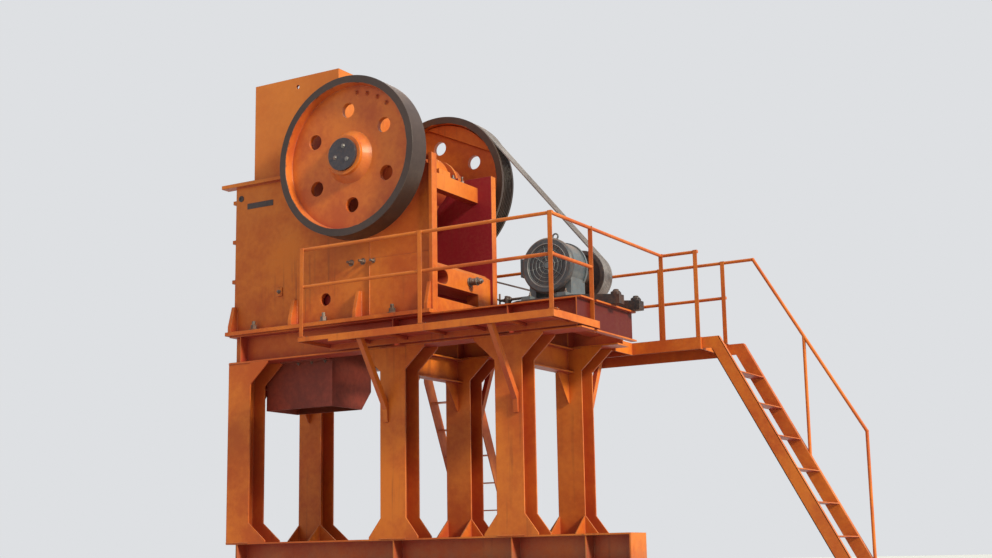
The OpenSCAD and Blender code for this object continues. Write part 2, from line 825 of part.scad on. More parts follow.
// Gusset under the near end of a tie
module tie_corner(x) {
    y = -stand_half_w + col_d;
    z = main_z0 - tie_h;
    plate_yz(x - gusset_t / 2, gusset_t) polygon([
        [y, z + 1], [y + tie_gusset, z + 1], [y + tie_gusset, z - 20], [y + 20, z - tie_gusset - 75],
        [y, z - tie_gusset - 75]
    ]);
}

// Ties across the stand, with a gusset at each end
module top_ties() {
    y1 = stand_half_w - col_d;
    color(orange) plan() for (x = [front_col_x, mid_col_x, motor_col_x]) {
        beam_y(x, -y1, y1 + far_shift, main_z0 - tie_h, 140, tie_h);
        tie_corner(x);
        far_row() tie_corner(x);
    }
}

// Cross beams, a short beam under the far slide rail and the end channel, whose
// flanges are cut out for a post
module motor_deck() {
    y1 = inner_half_w + far_shift;
    rail_y = drive_rail_y(1);
    x1 = motor_x + 280;
    color(orange) plan() {
        difference() {
            block([main_rear, -stand_half_w, main_z0], [main_rear + 58, rail_y + 55, main_top]);
            block([main_rear + 12, -stand_half_w - 1, main_z0 + flange_t],
                  [main_rear + 59, rail_y + 56, main_top - flange_t]);
            block([main_rear + 12, -stand_half_w + 254, main_z0 - 1],
                  [main_rear + 59, -stand_half_w + 270 + post_w, main_top + 1]);
        }
        for (x = [motor_x - 380, x1]) beam_y(x, -inner_half_w, y1, main_top - 200, 150, 200);
        beam_x(x1 + 74, main_rear + 1, rail_y, main_top - 200, 110, 200);
    }
}

// Floor plate on a frame of depth h
module floor_frame(x0, x1, y0, y1, h) {
    block([x0, y0, floor_z - floor_t], [x1, y1, floor_z]);
    difference() {
        block([x0, y0, floor_z - h], [x1, y1, floor_z - floor_t]);
        block([x0 + 8, y0 + 8, floor_z - h - 1], [x1 - 8, y1 - 8, floor_z - floor_t + 1]);
    }
}

module platform_near() {
    step_x = near_front_x + 373;
    color(orange) plan() {
        difference() {
            floor_frame(near_front_x, platform_x1, -platform_y, -stand_half_w, edge_h);
            block([near_front_x - 1, -platform_y - 1, floor_z - edge_h - 1],
                  [step_x, -stand_half_w - 8, floor_z - 45]);
        }
        block([main_rear + 12, -stand_half_w - 8, floor_z - edge_h],
              [platform_x1, -stand_half_w + 370, floor_z]);
    }
}

module platform_far() {
    color(orange) plan() floor_frame(far_front_x, far_rear_x, stand_half_w + far_shift, platform_y, channel_h);
}

module walkway() {
    color(orange) plan() floor_frame(walk_front_x, walk_x1, platform_y, walk_y1, channel_h);
}

// Slanting brace with the rib that holds it on the near face of a column
module brace(x, reach, z1) {
    y0 = -stand_half_w;
    z0 = z1 - brace_h;
    plate_yz(x - 25, 50) polygon([
        [y0, z0], [y0, z0 + 0.24 * brace_h], [y0 - reach + 70, z1], [y0 - reach + 70, floor_z - floor_t],
        [y0 - reach, floor_z - floor_t], [y0 - reach, z1],
        [y0 - 35, z0 + 0.16 * brace_h], [y0 - 20, z0]
    ]);
}

// Slanting braces from the columns to the edges of the platforms
module knee_braces() {
    reach = platform_w - 60;
    color(orange) plan() {
        brace(mid_col_x - 70, reach, floor_z - edge_h);
        brace(motor_col_x + 85, reach, floor_z - edge_h);
        for (x = [mid_col_x + 85, motor_col_x + 85])
            far_row() brace(x, reach - far_shift, floor_z - channel_h);
    }
}

// Angle iron post
module post(x, y, z0, h, turn) {
    translate([x, y, z0]) rotate([0, 0, turn]) linear_extrude(h) polygon([
        [0, 0], [post_w, 0], [post_w, post_t], [post_t, post_t], [post_t, post_w], [0, post_w]
    ]);
}

module railing_near() {
    y = -platform_y + post_w / 2;
    x0 = near_front_x + tube_r;
    x1 = platform_x1 - post_w;
    step = (x1 - x0) / 2;
    color(orange) plan() {
        for (x = [x0, x0 + step, x1]) post(x, -platform_y, floor_z, rail_top, 0);
        for (h = [mid_rail, 1])
            bar_x(y, floor_z + rail_top * h - tube_r, x0, x1 + post_w, tube_r);
    }
}

module railing_end() {
    x = platform_x1 - post_w / 2;
    color(orange) plan() {
        post(platform_x1 - post_w, -stand_half_w + 262, floor_z, rail_top, 0);
        bar_y(x, floor_z + rail_top * mid_rail - tube_r, -platform_y + post_w, -stand_half_w + 262, tube_r);
        bar_y(x, floor_z + rail_top - tube_r, -platform_y + post_w, platform_y, tube_r);
    }
}

module railing_far() {
    y = platform_y - post_w / 2;
    x0 = ladder_x0 + ladder_w + 60;
    x1 = walk_front_x - 60;
    color(orange) plan() {
        for (x = [x0, x1]) post(x, platform_y - post_w, floor_z, rail_top, 0);
        for (h = [mid_rail, 1]) bar_x(y, floor_z + rail_top * h - tube_r, x0, x1 + post_w, tube_r);
    }
}

module walkway_railing() {
    y = walk_y1 - post_w / 2;
    x0 = walk_front_x;
    x1 = walk_x1 - post_w;
    color(orange) plan() {
        for (x = [x0, (x0 + x1) / 2, x1]) post(x, walk_y1 - post_w, floor_z, rail_top, 0);
        for (h = [mid_rail, 1]) bar_x(y, floor_z + rail_top * h - tube_r, x0, x1 + post_w, tube_r);
        for (x = [platform_x1 - post_w, x1]) post(x, platform_y, floor_z, rail_top, 0);
        bar_x(platform_y + post_w / 2, floor_z + rail_top - tube_r, platform_x1 - post_w, x1 + post_w, tube_r);
    }
}

// Side view of a ladder stringer that starts under z1
module stringer_outline(run, depth_run, z1) {
    polygon([[0, z1], [0, z1 - 90], [run, 0], [run + depth_run, 0], [depth_run, z1]]);
}

module stair_stringers() {
    cut = channel_h - 10;
    color(orange) plan() for (y = [stair_y0, stair_y1 - stringer_t])
        plate_xz(y, stringer_t) polygon([
            [walk_x1, floor_z], [walk_x1, floor_z - cut],
            [stair_x0 + cut / tan(stair_angle), floor_z - cut],
            [stair_x0 + stair_run, 0], [stair_x0 + stair_run + stringer_run, 0],
            [stair_x0 + stringer_run, floor_z]
        ]);
}

module stair_treads() {
    n = 1 + floor((floor_z - first_step - 200) / tread_rise);
    color(orange) plan() for (k = [0 : n - 1]) {
        z = floor_z - first_step - k * tread_rise;
        x = stair_x0 + (floor_z - z) / tan(stair_angle) + 6;
        block([x, stair_y0 + stringer_t, z - tread_t], [x + stringer_run, stair_y1 - stringer_t, z]);
    }
}

module stair_handrail() {
    y = walk_y1 - post_w / 2;
    z1 = floor_z + rail_top - tube_r;
    start = [walk_x1 + handrail_lead, y, z1];
    bend = [handrail_foot_x, y, handrail_bend];
    t = 0.46;
    mid = start + (bend - start) * t;
    mid_z = floor_z - (mid[0] - stair_x0 - stringer_run / 2) * tan(stair_angle);
    color(orange) plan() {
        bar_x(y, z1, walk_x1 + eps, start[0], tube_r);
        translate(start) sphere(r = tube_r + 2);
        bar(start, bend, tube_r);
        translate(bend) sphere(r = tube_r + 2);
        bar([handrail_foot_x, y, 0], bend, tube_r);
        bar([mid[0], y, mid_z - 60], mid, tube_r);
        block([mid[0] - 30, stair_y1, mid_z - 60], [mid[0] + 30, y, mid_z + 60]);
    }
}

module ladder() {
    x1 = ladder_x0 + ladder_w;
    z1 = floor_z - channel_h;
    n = floor((z1 - 150) / 300);
    color(orange) plan() {
        for (x = [ladder_x0, x1 - stringer_t]) translate([0, platform_y, 0]) plate_yz(x, stringer_t)
            stringer_outline(ladder_run, ladder_depth_run, z1);
        for (k = [1 : n]) {
            z = z1 - k * 300;
            y = platform_y + (z1 - z) / tan(ladder_angle) + 5;
            block([ladder_x0 + stringer_t, y, z - 10], [x1 - stringer_t, y + ladder_depth_run - 20, z]);
        }
    }
}

// Cross section of the chute; the far wall slopes inwards at its foot
module chute_section(y1, z0, z1) {
    polygon([
        [-y1, z0], [y1 - chute_slope, z0], [y1, z0 + 1.2 * chute_slope], [y1, z1], [-y1, z1]
    ]);
}

module discharge_chute() {
    x0 = -body_front + 260;
    x1 = x0 + chute_l;
    y1 = chute_w / 2;
    z0 = main_z0 - chute_drop;
    z1 = main_top;
    lug_x = front_col_x + col_w / 2 + knee_gusset + 10;
    color(orange) plan() {
        difference() {
            plate_yz(x0, chute_l) chute_section(y1, z0, z1);
            plate_yz(x0 + chute_t, chute_l - 2 * chute_t)
                chute_section(y1 - chute_t, z0 - 1, z1 + 1);
        }
        block([lug_x, -inner_half_w - 60, main_z0 - 12], [x1, -y1 + 1, main_z0]);
        block([lug_x, y1 - 1, main_z0 - 12], [x1, inner_half_w + far_shift + 60, main_z0]);
    }
}

side_plate_near();
side_plate_far();
front_wall();
rear_top_beam();
rear_toggle_beam();
feed_guard();
fixed_jaw_plate();
swing_jaw_plate();
swing_jaw();
toggle_plate();
tension_rod();
cheek_plates();
bearing_housings();
eccentric_shaft();
flywheel_near();
flywheel_far();
balance_weights();
shaft_end_covers();
drive_belts();
motor_body();
motor_fan_cover();
motor_terminal_box();
motor_pulley();
motor_rails();
base_beams();
base_cross_beams();
columns_near();
columns_far();
main_beam_near();
main_beam_far();
top_ties();
motor_deck();
platform_near();
platform_far();
walkway();
knee_braces();
railing_near();
railing_end();
railing_far();
walkway_railing();
stair_stringers();
stair_treads();
stair_handrail();
ladder();
discharge_chute();
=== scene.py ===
# %% [markdown]
# # A jaw crusher on its stand
#
# The steel frame of this machine comes ready made from the CAD model, in metres. What Blender
# adds here is the look of it: chalky orange paint with dust and rubbed edges, dark wheel rims, a
# blue-grey motor, and the small things that a welder and a fitter leave behind, such as beads of
# weld, bolts, nuts, a spring and a name plate with nothing on it. The script loads the frame, sets
# the camera and the lamps, makes the finishes, and then adds the pieces, one group at a time.

import json
import math
import random

import bmesh
import bpy
from mathutils import Matrix, Vector


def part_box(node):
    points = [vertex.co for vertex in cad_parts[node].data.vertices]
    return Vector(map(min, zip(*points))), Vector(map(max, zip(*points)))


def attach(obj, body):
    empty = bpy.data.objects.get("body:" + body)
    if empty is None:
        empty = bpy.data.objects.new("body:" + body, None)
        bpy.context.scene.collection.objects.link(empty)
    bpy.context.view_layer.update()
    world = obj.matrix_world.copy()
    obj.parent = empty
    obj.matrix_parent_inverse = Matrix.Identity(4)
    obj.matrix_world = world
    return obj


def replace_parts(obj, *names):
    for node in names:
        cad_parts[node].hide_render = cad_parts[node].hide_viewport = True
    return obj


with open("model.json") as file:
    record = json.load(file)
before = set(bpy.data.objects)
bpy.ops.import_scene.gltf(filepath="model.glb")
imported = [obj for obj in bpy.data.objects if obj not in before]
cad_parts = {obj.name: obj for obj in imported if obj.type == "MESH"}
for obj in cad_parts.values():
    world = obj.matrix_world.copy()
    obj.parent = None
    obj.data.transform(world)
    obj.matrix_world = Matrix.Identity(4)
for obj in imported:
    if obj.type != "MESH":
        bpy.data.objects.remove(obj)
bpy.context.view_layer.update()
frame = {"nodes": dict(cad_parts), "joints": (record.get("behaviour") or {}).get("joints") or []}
nodes = frame["nodes"]
scene = bpy.context.scene

# %% [markdown]
# ## Where things are
#
# Every later piece is placed from two points that the frame gives: the flywheel shaft and the
# motor shaft. `here(x, y, z)` takes x along the stand from the flywheel shaft, y from the middle
# plane of the crusher and z from the ground. That is easier to picture than the model's own
# origin, and a piece keeps its place if the CAD model is moved.

# %% Places taken from the frame
joints = {j["name"]: Vector(j["pos_m"]) for j in frame["joints"]}
SHAFT = joints["crank_spin"]
MOTOR = joints["motor_spin"]
ALONG_X = Vector((1, 0, 0))
ALONG_Y = Vector((0, 1, 0))
ALONG_Z = Vector((0, 0, 1))


def here(x, y, z):
    """A point from the flywheel shaft, the middle plane and the ground."""
    return Vector((SHAFT.x + x, SHAFT.y + y, z))


def in_terms_of_here(point):
    return Vector((point.x - SHAFT.x, point.y - SHAFT.y, point.z))


def low(node):
    """Lowest corner of a CAD node."""
    return in_terms_of_here(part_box(node)[0])


def high(node):
    """Highest corner of a CAD node."""
    return in_terms_of_here(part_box(node)[1])


WHEEL_R = (high("flywheel_near").z - low("flywheel_near").z) / 2
DECK_Z = high("main_beam_near").z
FLOOR_Z = high("platform_near").z
print("shaft height", round(SHAFT.z, 3), "wheel radius", round(WHEEL_R, 3))

# %% [markdown]
# ## The camera
#
# The photograph was taken from close to the ground, at the stair side, looking up past the
# platform. The direction is written as a heading, a tilt and a roll, because these are the
# numbers a photographer would give. The picture is 992 by 558.

# %% Camera
PICTURE_W = 992
FOCAL_PIXELS = 1470
SENSOR = 36.0
HEADING = math.radians(-30.82)
TILT = math.radians(10.91)
ROLL = math.radians(-0.97)
EYE = here(8.635, -12.509, 0.06)

ahead = Vector((math.sin(HEADING), math.cos(HEADING), 0)) * math.cos(TILT) + ALONG_Z * math.sin(TILT)
level = Vector((math.cos(HEADING), -math.sin(HEADING), 0))
upright = level.cross(ahead)
right = level * math.cos(ROLL) + upright * math.sin(ROLL)
up = upright * math.cos(ROLL) - level * math.sin(ROLL)

camera = bpy.data.objects.new("camera", bpy.data.cameras.new("camera"))
camera.data.sensor_fit = "HORIZONTAL"
camera.data.sensor_width = SENSOR
camera.data.lens = SENSOR * FOCAL_PIXELS / PICTURE_W
camera.data.clip_end = 200
camera.matrix_world = Matrix((right, up, -ahead)).transposed().to_4x4()
camera.location = EYE
scene.collection.objects.link(camera)
scene.camera = camera
print("camera at", [round(v, 2) for v in EYE], "lens", round(camera.data.lens, 1), "mm")

# %% [markdown]
# ## Floor and lamps
#
# A pale floor and four soft lamps make a plain studio. The lamps are of the sun kind: their rays
# are parallel, so they light a wide floor evenly. The strongest comes low from the stair side,
# where the sun was, so that faces turned to the stair are bright and faces turned to the camera
# are in shade. The others fill in from the camera's side, from behind and from above.

# %% Floor
FLOOR_HALF = 400
CORNERS = ((-1, -1), (1, -1), (1, 1), (-1, 1))
floor_mesh = bpy.data.meshes.new("floor")
floor_mesh.from_pydata([(x * FLOOR_HALF, y * FLOOR_HALF, 0) for x, y in CORNERS], [], [(0, 1, 2, 3)])
floor = bpy.data.objects.new("floor", floor_mesh)
scene.collection.objects.link(floor)
print("floor", 2 * FLOOR_HALF, "m wide")

# %% Lamps
MIDDLE = here(0.8, 0, 2.4)


def lamp(name, place, strength, spread, colour=(1.0, 1.0, 1.0)):
    """A soft even light that comes from a place, with its spread in degrees."""
    data = bpy.data.lights.new(name, "SUN")
    data.energy = strength
    data.angle = math.radians(spread)
    data.color = colour
    made = bpy.data.objects.new(name, data)
    made.location = place
    made.rotation_euler = (MIDDLE - place).to_track_quat("-Z", "Y").to_euler()
    scene.collection.objects.link(made)


lamp("sun_side", here(31.3, -6.5, 18.15), strength=4.6, spread=9, colour=(1.0, 0.99, 0.80))
lamp("camera_side", here(3.0, -29.3, 14.5), strength=0.22, spread=30, colour=(1.0, 0.97, 0.95))
lamp("back", here(-17.0, 20.0, 16.2), strength=0.58, spread=28, colour=(1.0, 0.98, 0.95))
lamp("sky", here(0.8, 0, 30), strength=0.7, spread=60)
scene.view_settings.view_transform = "Standard"

# %% [markdown]
# ## A short way to write materials
#
# A node tree takes many lines if each node is placed by hand. `Graph.add` makes one node, sets
# its options and connects or fills its inputs in one call. The other methods name the few kinds
# of node that all finishes need.

# %% Node helper


class Graph:
    """Adds nodes to one node tree."""

    def __init__(self, tree):
        self.tree = tree

    def put(self, socket, value):
        """Connects a socket to another one, or fills it with a plain value."""
        if isinstance(value, bpy.types.NodeSocket):
            self.tree.links.new(value, socket)
        else:
            socket.default_value = value

    def add(self, kind, inputs=None, **options):
        node = self.tree.nodes.new(kind)
        for key, value in options.items():
            setattr(node, key, value)
        for key, value in (inputs or {}).items():
            self.put(node.inputs[key], value)
        return node

    def group(self, tree, **inputs):
        """A copy of a node group. An underscore in the name of an input stands for a space."""
        filled = {key.replace("_", " "): value for key, value in inputs.items()}
        return self.add("ShaderNodeGroup", filled, node_tree=tree)

    def math(self, operation, a, b=0.0, c=0.0, clamp=False):
        node = self.add("ShaderNodeMath", {0: a, 1: b, 2: c}, operation=operation)
        node.use_clamp = clamp
        return node.outputs[0]

    def times(self, a, b):
        return self.math("MULTIPLY", a, b)

    def noise(self, vector, scale, detail=4.0, rough=0.55):
        inputs = {"Vector": vector, "Scale": scale, "Detail": detail, "Roughness": rough}
        return self.add("ShaderNodeTexNoise", inputs).outputs["Fac"]

    def ramp(self, value, low_edge, high_edge, start=0.0, end=1.0):
        """A smooth step from start, at the low edge, to end, at the high edge."""
        inputs = {"Value": value, "From Min": low_edge, "From Max": high_edge, "To Min": start, "To Max": end}
        return self.add("ShaderNodeMapRange", inputs, interpolation_type="SMOOTHSTEP").outputs["Result"]

    def blend(self, share, a, b):
        """Colour a where share is 0 and colour b where it is 1."""
        return self.add("ShaderNodeMix", {"Factor": share, 6: a, 7: b}, data_type="RGBA").outputs[2]

    def spot(self):
        """The point that is shaded, in the object's own metres."""
        return self.add("ShaderNodeTexCoord").outputs["Object"]

    def split(self, vector):
        """The X, Y and Z of a vector."""
        return self.add("ShaderNodeSeparateXYZ", {0: vector}).outputs

    def facing(self):
        """The X, Y and Z of the direction that the surface faces."""
        return self.split(self.add("ShaderNodeNewGeometry").outputs["Normal"])


print("Graph is ready")

# %% [markdown]
# ## Node groups, materials and colours
#
# A node group is a small tree with named inputs and outputs, made once and used by many
# materials. `new_group` opens one and `close_group` connects its results. Colours are written as
# they are picked on a screen, and `linear` turns them into the light that a shader works with.

# %% Helpers for groups, materials and colours
FLOAT = "NodeSocketFloat"
VECTOR = "NodeSocketVector"


def new_group(name, inputs, outputs):
    """A shader node group. Returns its tree, its graph, its inputs and its output node."""
    tree = bpy.data.node_groups.new(name, "ShaderNodeTree")
    for title, default in inputs.items():
        socket = tree.interface.new_socket(title, in_out="INPUT", socket_type=FLOAT)
        socket.default_value = default
    for title, kind in outputs.items():
        tree.interface.new_socket(title, in_out="OUTPUT", socket_type=kind)
    graph = Graph(tree)
    entry = graph.add("NodeGroupInput")
    exit_node = graph.add("NodeGroupOutput")
    return tree, graph, entry.outputs, exit_node


def close_group(graph, exit_node, **results):
    for key, value in results.items():
        graph.put(exit_node.inputs[key], value)
    print("group", graph.tree.name, "gives", list(results))


def new_material(name):
    """An empty material with its graph and its shader."""
    material = bpy.data.materials.new(name)
    material.use_nodes = True
    material.node_tree.nodes.clear()
    graph = Graph(material.node_tree)
    shader = graph.add("ShaderNodeBsdfPrincipled")
    graph.add("ShaderNodeOutputMaterial", {"Surface": shader.outputs[0]})
    return material, graph, shader


def coat(g, shader, colour, rubbed, edges, rough, height, depth):
    """Connects a finish: its colour, rubbed at the edges, its roughness and its raised grain."""
    raised = {"Height": height, "Strength": 1.0, "Distance": depth, "Normal": edges["Normal"]}
    g.put(shader.inputs["Base Color"], g.blend(edges["Mask"], colour, rubbed))
    g.put(shader.inputs["Roughness"], rough)
    g.put(shader.inputs["Normal"], g.add("ShaderNodeBump", raised).outputs["Normal"])


def linear(red, green, blue):
    """A colour picked on screen, 0 to 255, as the linear colour that a shader wants."""
    def one(c):
        c = c / 255
        return c / 12.92 if c <= 0.04045 else ((c + 0.055) / 1.055) ** 2.4
    return (one(red), one(green), one(blue), 1.0)


print("mid grey on screen is", round(linear(128, 128, 128)[0], 3), "in linear light")

# %% [markdown]
# ## Rubbed edges
#
# Paint leaves a sharp edge first. A bevel node gives the normal that the surface would have if
# its edges were rounded, and where that differs from the flat normal there is an edge. A painted
# image would need each edge drawn. Noise breaks the line up, so that it looks knocked.

# %% Rubbed edges
wear_tree, g, inp, out = new_group(
    "Rubbed edges", {"Radius": 0.006, "Amount": 1.0, "Break up": 9.0}, {"Mask": FLOAT, "Normal": VECTOR})
rounded = g.add("ShaderNodeBevel", {"Radius": inp["Radius"]}, samples=6).outputs["Normal"]
flat = g.add("ShaderNodeNewGeometry").outputs["Normal"]
cosine = g.add("ShaderNodeVectorMath", {0: rounded, 1: flat}, operation="DOT_PRODUCT").outputs["Value"]
edge = g.ramp(cosine, 0.995, 0.90)
torn = g.ramp(g.noise(g.spot(), inp["Break up"], detail=6.0, rough=0.7), 0.42, 0.62)
mask = g.math("MULTIPLY", g.times(edge, torn), inp["Amount"], clamp=True)
close_group(g, out, Mask=mask, Normal=rounded)

# %% [markdown]
# ## Settled dust
#
# Quarry dust lies on what faces up. The mask is the upward part of the normal, so every piece
# gathers its dust by itself. Noise tears it, and a thin film lies everywhere.

# %% Settled dust
dust_tree, g, inp, out = new_group(
    "Settled dust", {"Amount": 0.6, "Film": 0.12, "Scale": 2.0}, {"Mask": FLOAT})
spot = g.spot()
upward = g.ramp(g.facing()["Z"], 0.35, 0.95)
lying = g.times(upward, g.ramp(g.noise(spot, inp["Scale"], detail=8.0, rough=0.65), 0.25, 0.7))
fine = g.ramp(g.noise(spot, 38.0, detail=5.0, rough=0.7), 0.35, 0.75)
film = g.times(g.times(g.noise(spot, inp["Scale"], detail=6.0, rough=0.6), inp["Film"]), fine)
close_group(g, out, Mask=g.math("MULTIPLY_ADD", lying, inp["Amount"], film, clamp=True))

# %% [markdown]
# ## Painted shade
#
# Sides that face down, and corners that daylight doesn't reach, get painted shade: a deep red that stands for
# the shade there. The Z of the normal finds the first, an ambient occlusion node the second.

# %% Painted shade
painted_shade_tree, g, inp, out = new_group("Painted shade", {"Reach": 0.35, "Under": 0.8}, {"Mask": FLOAT})
closed = g.add("ShaderNodeAmbientOcclusion", {"Distance": inp["Reach"]}, samples=8).outputs["AO"]
below = g.times(g.ramp(g.facing()["Z"], -0.2, -0.9), inp["Under"])
corner = g.ramp(closed, 0.75, 0.25)
close_group(g, out, Mask=g.math("MAXIMUM", below, corner))

# %% [markdown]
# ## Runs
#
# Rain draws long thin marks down a wall, so this noise is stretched along z. A second, wide noise
# leaves most of the wall clean.

# %% Runs
runs_tree, g, inp, out = new_group("Runs", {"Width": 14.0, "Length": 0.8, "Cover": 0.35}, {"Mask": FLOAT})
spot = g.spot()
part = g.split(spot)
scaled = {0: g.times(part["X"], inp["Width"]),
          1: g.times(part["Y"], inp["Width"]),
          2: g.times(part["Z"], inp["Length"])}
stretched = g.add("ShaderNodeCombineXYZ", scaled).outputs[0]
lines = g.ramp(g.noise(stretched, 1.0, detail=3.0, rough=0.6), 0.52, 0.72)
patches = g.ramp(g.noise(spot, 0.9, detail=3.0, rough=0.5), 0.45, 0.7)
on_walls = g.ramp(g.math("ABSOLUTE", g.facing()["Z"]), 0.5, 0.2)
close_group(g, out, Mask=g.times(g.times(lines, patches), g.times(on_walls, inp["Cover"])))

# %% [markdown]
# ## Rolled skin
#
# Rolled plate is never quite flat, and paint on it never quite even. Height is a fine grain on
# wide shallow dents. Tone moves every finish between two of its colours.

# %% Rolled skin
skin_tree, g, inp, out = new_group(
    "Rolled skin", {"Grain": 1.0, "Dents": 1.0}, {"Height": FLOAT, "Tone": FLOAT})
spot = g.spot()
grain = g.times(g.noise(spot, 160.0, detail=3.0, rough=0.6), inp["Grain"])
dents = g.times(g.noise(spot, 6.0, detail=3.0, rough=0.5), inp["Dents"])
height = g.math("MULTIPLY_ADD", grain, 0.15, dents)
quick = g.times(g.noise(spot, 17.0, detail=4.0, rough=0.6), 0.25)
tone = g.math("MULTIPLY_ADD", g.noise(spot, 1.3, detail=6.0, rough=0.6), 0.75, quick)
close_group(g, out, Height=height, Tone=g.ramp(tone, 0.36, 0.64))

# %% [markdown]
# ## Colours of the enamel
#
# The machine and its stand wear one coat of orange enamel, sun-bleached where it is high and open. Where
# faces look down, in hollows, on inner faces and on the web of the end channel, a deep red is painted as
# shade. These are the colours that its layers are blended from.

# %% Colours of the enamel
ORANGE = linear(204, 108, 32)
BLEACHED = linear(210, 124, 54)
DEEP = linear(176, 76, 24)
# Painted shade: the three deep reds below stand for shade under things, in hollows, on inner faces and on the
# web of the end channel.
SHADE_RED = linear(138, 28, 38)
INNER_SHADE_RED = linear(134, 26, 40)
WEB_SHADE_RED = linear(84, 10, 8)
RUN_BROWN = linear(96, 46, 28)
DUST = linear(176, 128, 88)
MUD = linear(142, 104, 78)
RUBBED = linear(112, 80, 60)
BOOT_GREY = linear(134, 118, 104)
RUST = linear(118, 58, 28)
print("orange in linear light:", [round(c, 3) for c in ORANGE[:3]])

# %% [markdown]
# ## Layers that only some pieces have
#
# The inner faces of the side plates and the web of the end channel get painted shade: they are painted red,
# as deep shade looks on orange. Mud splashes up the lowest beams. The floors are tear plate, whose lugs boots
# have polished. Each layer is a mask from the place and the direction of the surface, so it needs no image.

# %% Masks of single layers
LUG_PITCH = 0.042
EDGE_BLUR = 0.004


def bleached(g, spot, place):
    """Wide patches where the sun has worked, more of them higher up."""
    high_up = g.ramp(place["Z"], 2.4, 5.2, 0.15, 0.6)
    return g.times(g.ramp(g.noise(spot, 0.55, detail=4.0, rough=0.6), 0.4, 0.65), high_up)


def turned_inwards(g, place, facing, plane, reach):
    """Faces nearer to the plane of that y than reach, and turned towards it."""
    side = g.math("SUBTRACT", place["Y"], plane)
    outward = g.times(g.math("SIGN", side), facing["Y"])
    near = g.ramp(g.math("ABSOLUTE", side), reach, reach - EDGE_BLUR)
    return g.times(g.ramp(outward, -0.5, -0.9), near)


def rear_face(g, place, facing, x):
    """Faces at that x that look to the rear."""
    distance = g.math("ABSOLUTE", g.math("SUBTRACT", place["X"], x))
    return g.times(g.ramp(distance, 2 * EDGE_BLUR, EDGE_BLUR), g.ramp(facing["X"], 0.5, 0.9))


def splashed(g, spot, place, height):
    """Mud that thins out from the ground up to a height."""
    torn = g.ramp(g.noise(spot, 5.0, detail=8.0, rough=0.7), 0.35, 0.65)
    return g.times(g.ramp(place["Z"], height, 0.02, 0.0, 0.55), torn)


def tear_plate(g, place, facing):
    """Height of the lugs on top of a floor plate: two rows of short bars, turned across each other."""
    total = g.math("ADD", place["X"], place["Y"])
    difference = g.math("SUBTRACT", place["X"], place["Y"])
    rows = []
    for shift, along, across in ((0.0, difference, total), (LUG_PITCH, total, difference)):
        cell_u = g.math("PINGPONG", g.math("ADD", along, shift), LUG_PITCH)
        cell_v = g.math("PINGPONG", g.math("ADD", across, shift), LUG_PITCH)
        rows.append(g.times(g.ramp(cell_u, 0.007, 0.003), g.ramp(cell_v, 0.021, 0.014)))
    return g.times(g.math("MAXIMUM", *rows), g.ramp(facing["Z"], 0.8, 0.95))


print("tear plate: one lug every", 2 * LUG_PITCH, "m")

# %% [markdown]
# ## Orange enamel
#
# The colour is built in layers: fresh paint, bleached paint, painted shade in deep red, rain marks, dust, and
# rubbed steel on the edges. All but the painted shade grew so on the real thing. Each kind of piece gets a
# material of its own, with one or two of the layers changed.

# %% Orange enamel


def enamel(name, dust=0.6, film=0.2, wear=0.7, shade_share=0.8, runs=0.55,
           tread=False, splash=0.0, inner=None, web=None):
    """Weathered orange enamel, with a share of painted shade in deep red where faces look down and in
    hollows. tread adds a tear plate to what faces up, splash mud up to that height, inner is a pair (y,
    reach) whose faces turned to the plane of that y are painted red as shade, and web is the x of a rear face
    that is painted dark red as shade."""
    material, g, shader = new_material(name)
    spot = g.spot()
    place = g.split(spot)
    facing = g.facing()
    skin = g.group(skin_tree, Grain=1.0, Dents=0.6).outputs
    edges = g.group(wear_tree, Radius=0.007, Amount=wear, Break_up=7.0).outputs
    dusty = g.group(dust_tree, Amount=dust, Film=film, Scale=2.2).outputs["Mask"]
    painted_shade = g.group(painted_shade_tree, Reach=0.45, Under=1.0).outputs["Mask"]
    rain = g.group(runs_tree, Width=16.0, Length=0.7, Cover=runs).outputs["Mask"]

    colour = g.blend(skin["Tone"], DEEP, ORANGE)
    colour = g.blend(bleached(g, spot, place), colour, BLEACHED)
    # Painted shade: faces that look down and hollows are blended towards deep red.
    colour = g.blend(g.times(painted_shade, shade_share), colour, SHADE_RED)
    # Painted shade: faces turned inwards are painted red.
    if inner:
        colour = g.blend(turned_inwards(g, place, facing, *inner), colour, INNER_SHADE_RED)
    # Painted shade: the rear face of the end channel's web is painted dark red.
    if web:
        colour = g.blend(rear_face(g, place, facing, web), colour, WEB_SHADE_RED)
    colour = g.blend(rain, colour, RUN_BROWN)
    colour = g.blend(g.times(dusty, 0.8), colour, DUST)
    rough = g.math("MULTIPLY_ADD", dusty, 0.35, g.ramp(skin["Tone"], 0, 1, 0.5, 0.4))
    height = skin["Height"]
    if splash:
        mud = splashed(g, spot, place, splash)
        colour = g.blend(mud, colour, MUD)
        rough = g.math("MAXIMUM", rough, g.times(mud, 0.9))
    if tread:
        lug = tear_plate(g, place, facing)
        worn = g.times(lug, g.ramp(g.noise(spot, 1.1, detail=4.0, rough=0.6), 0.4, 0.6))
        colour = g.blend(worn, colour, BOOT_GREY)
        height = g.math("MULTIPLY_ADD", lug, 4.0, height)
    g.put(shader.inputs["Specular IOR Level"], 0.3)
    coat(g, shader, colour, RUBBED, edges, rough, height, 0.0012)
    return material


WEB_X = SHAFT.x + high("main_beam_near").x + 0.012
PLATE_REACH = high("side_plate_far").y
PAINT = enamel("orange_enamel")
# The inner faces of the side plates get painted shade in red.
PLATE_PAINT = enamel("side_plate_enamel", inner=(SHAFT.y, PLATE_REACH), shade_share=0.6, film=0.22)
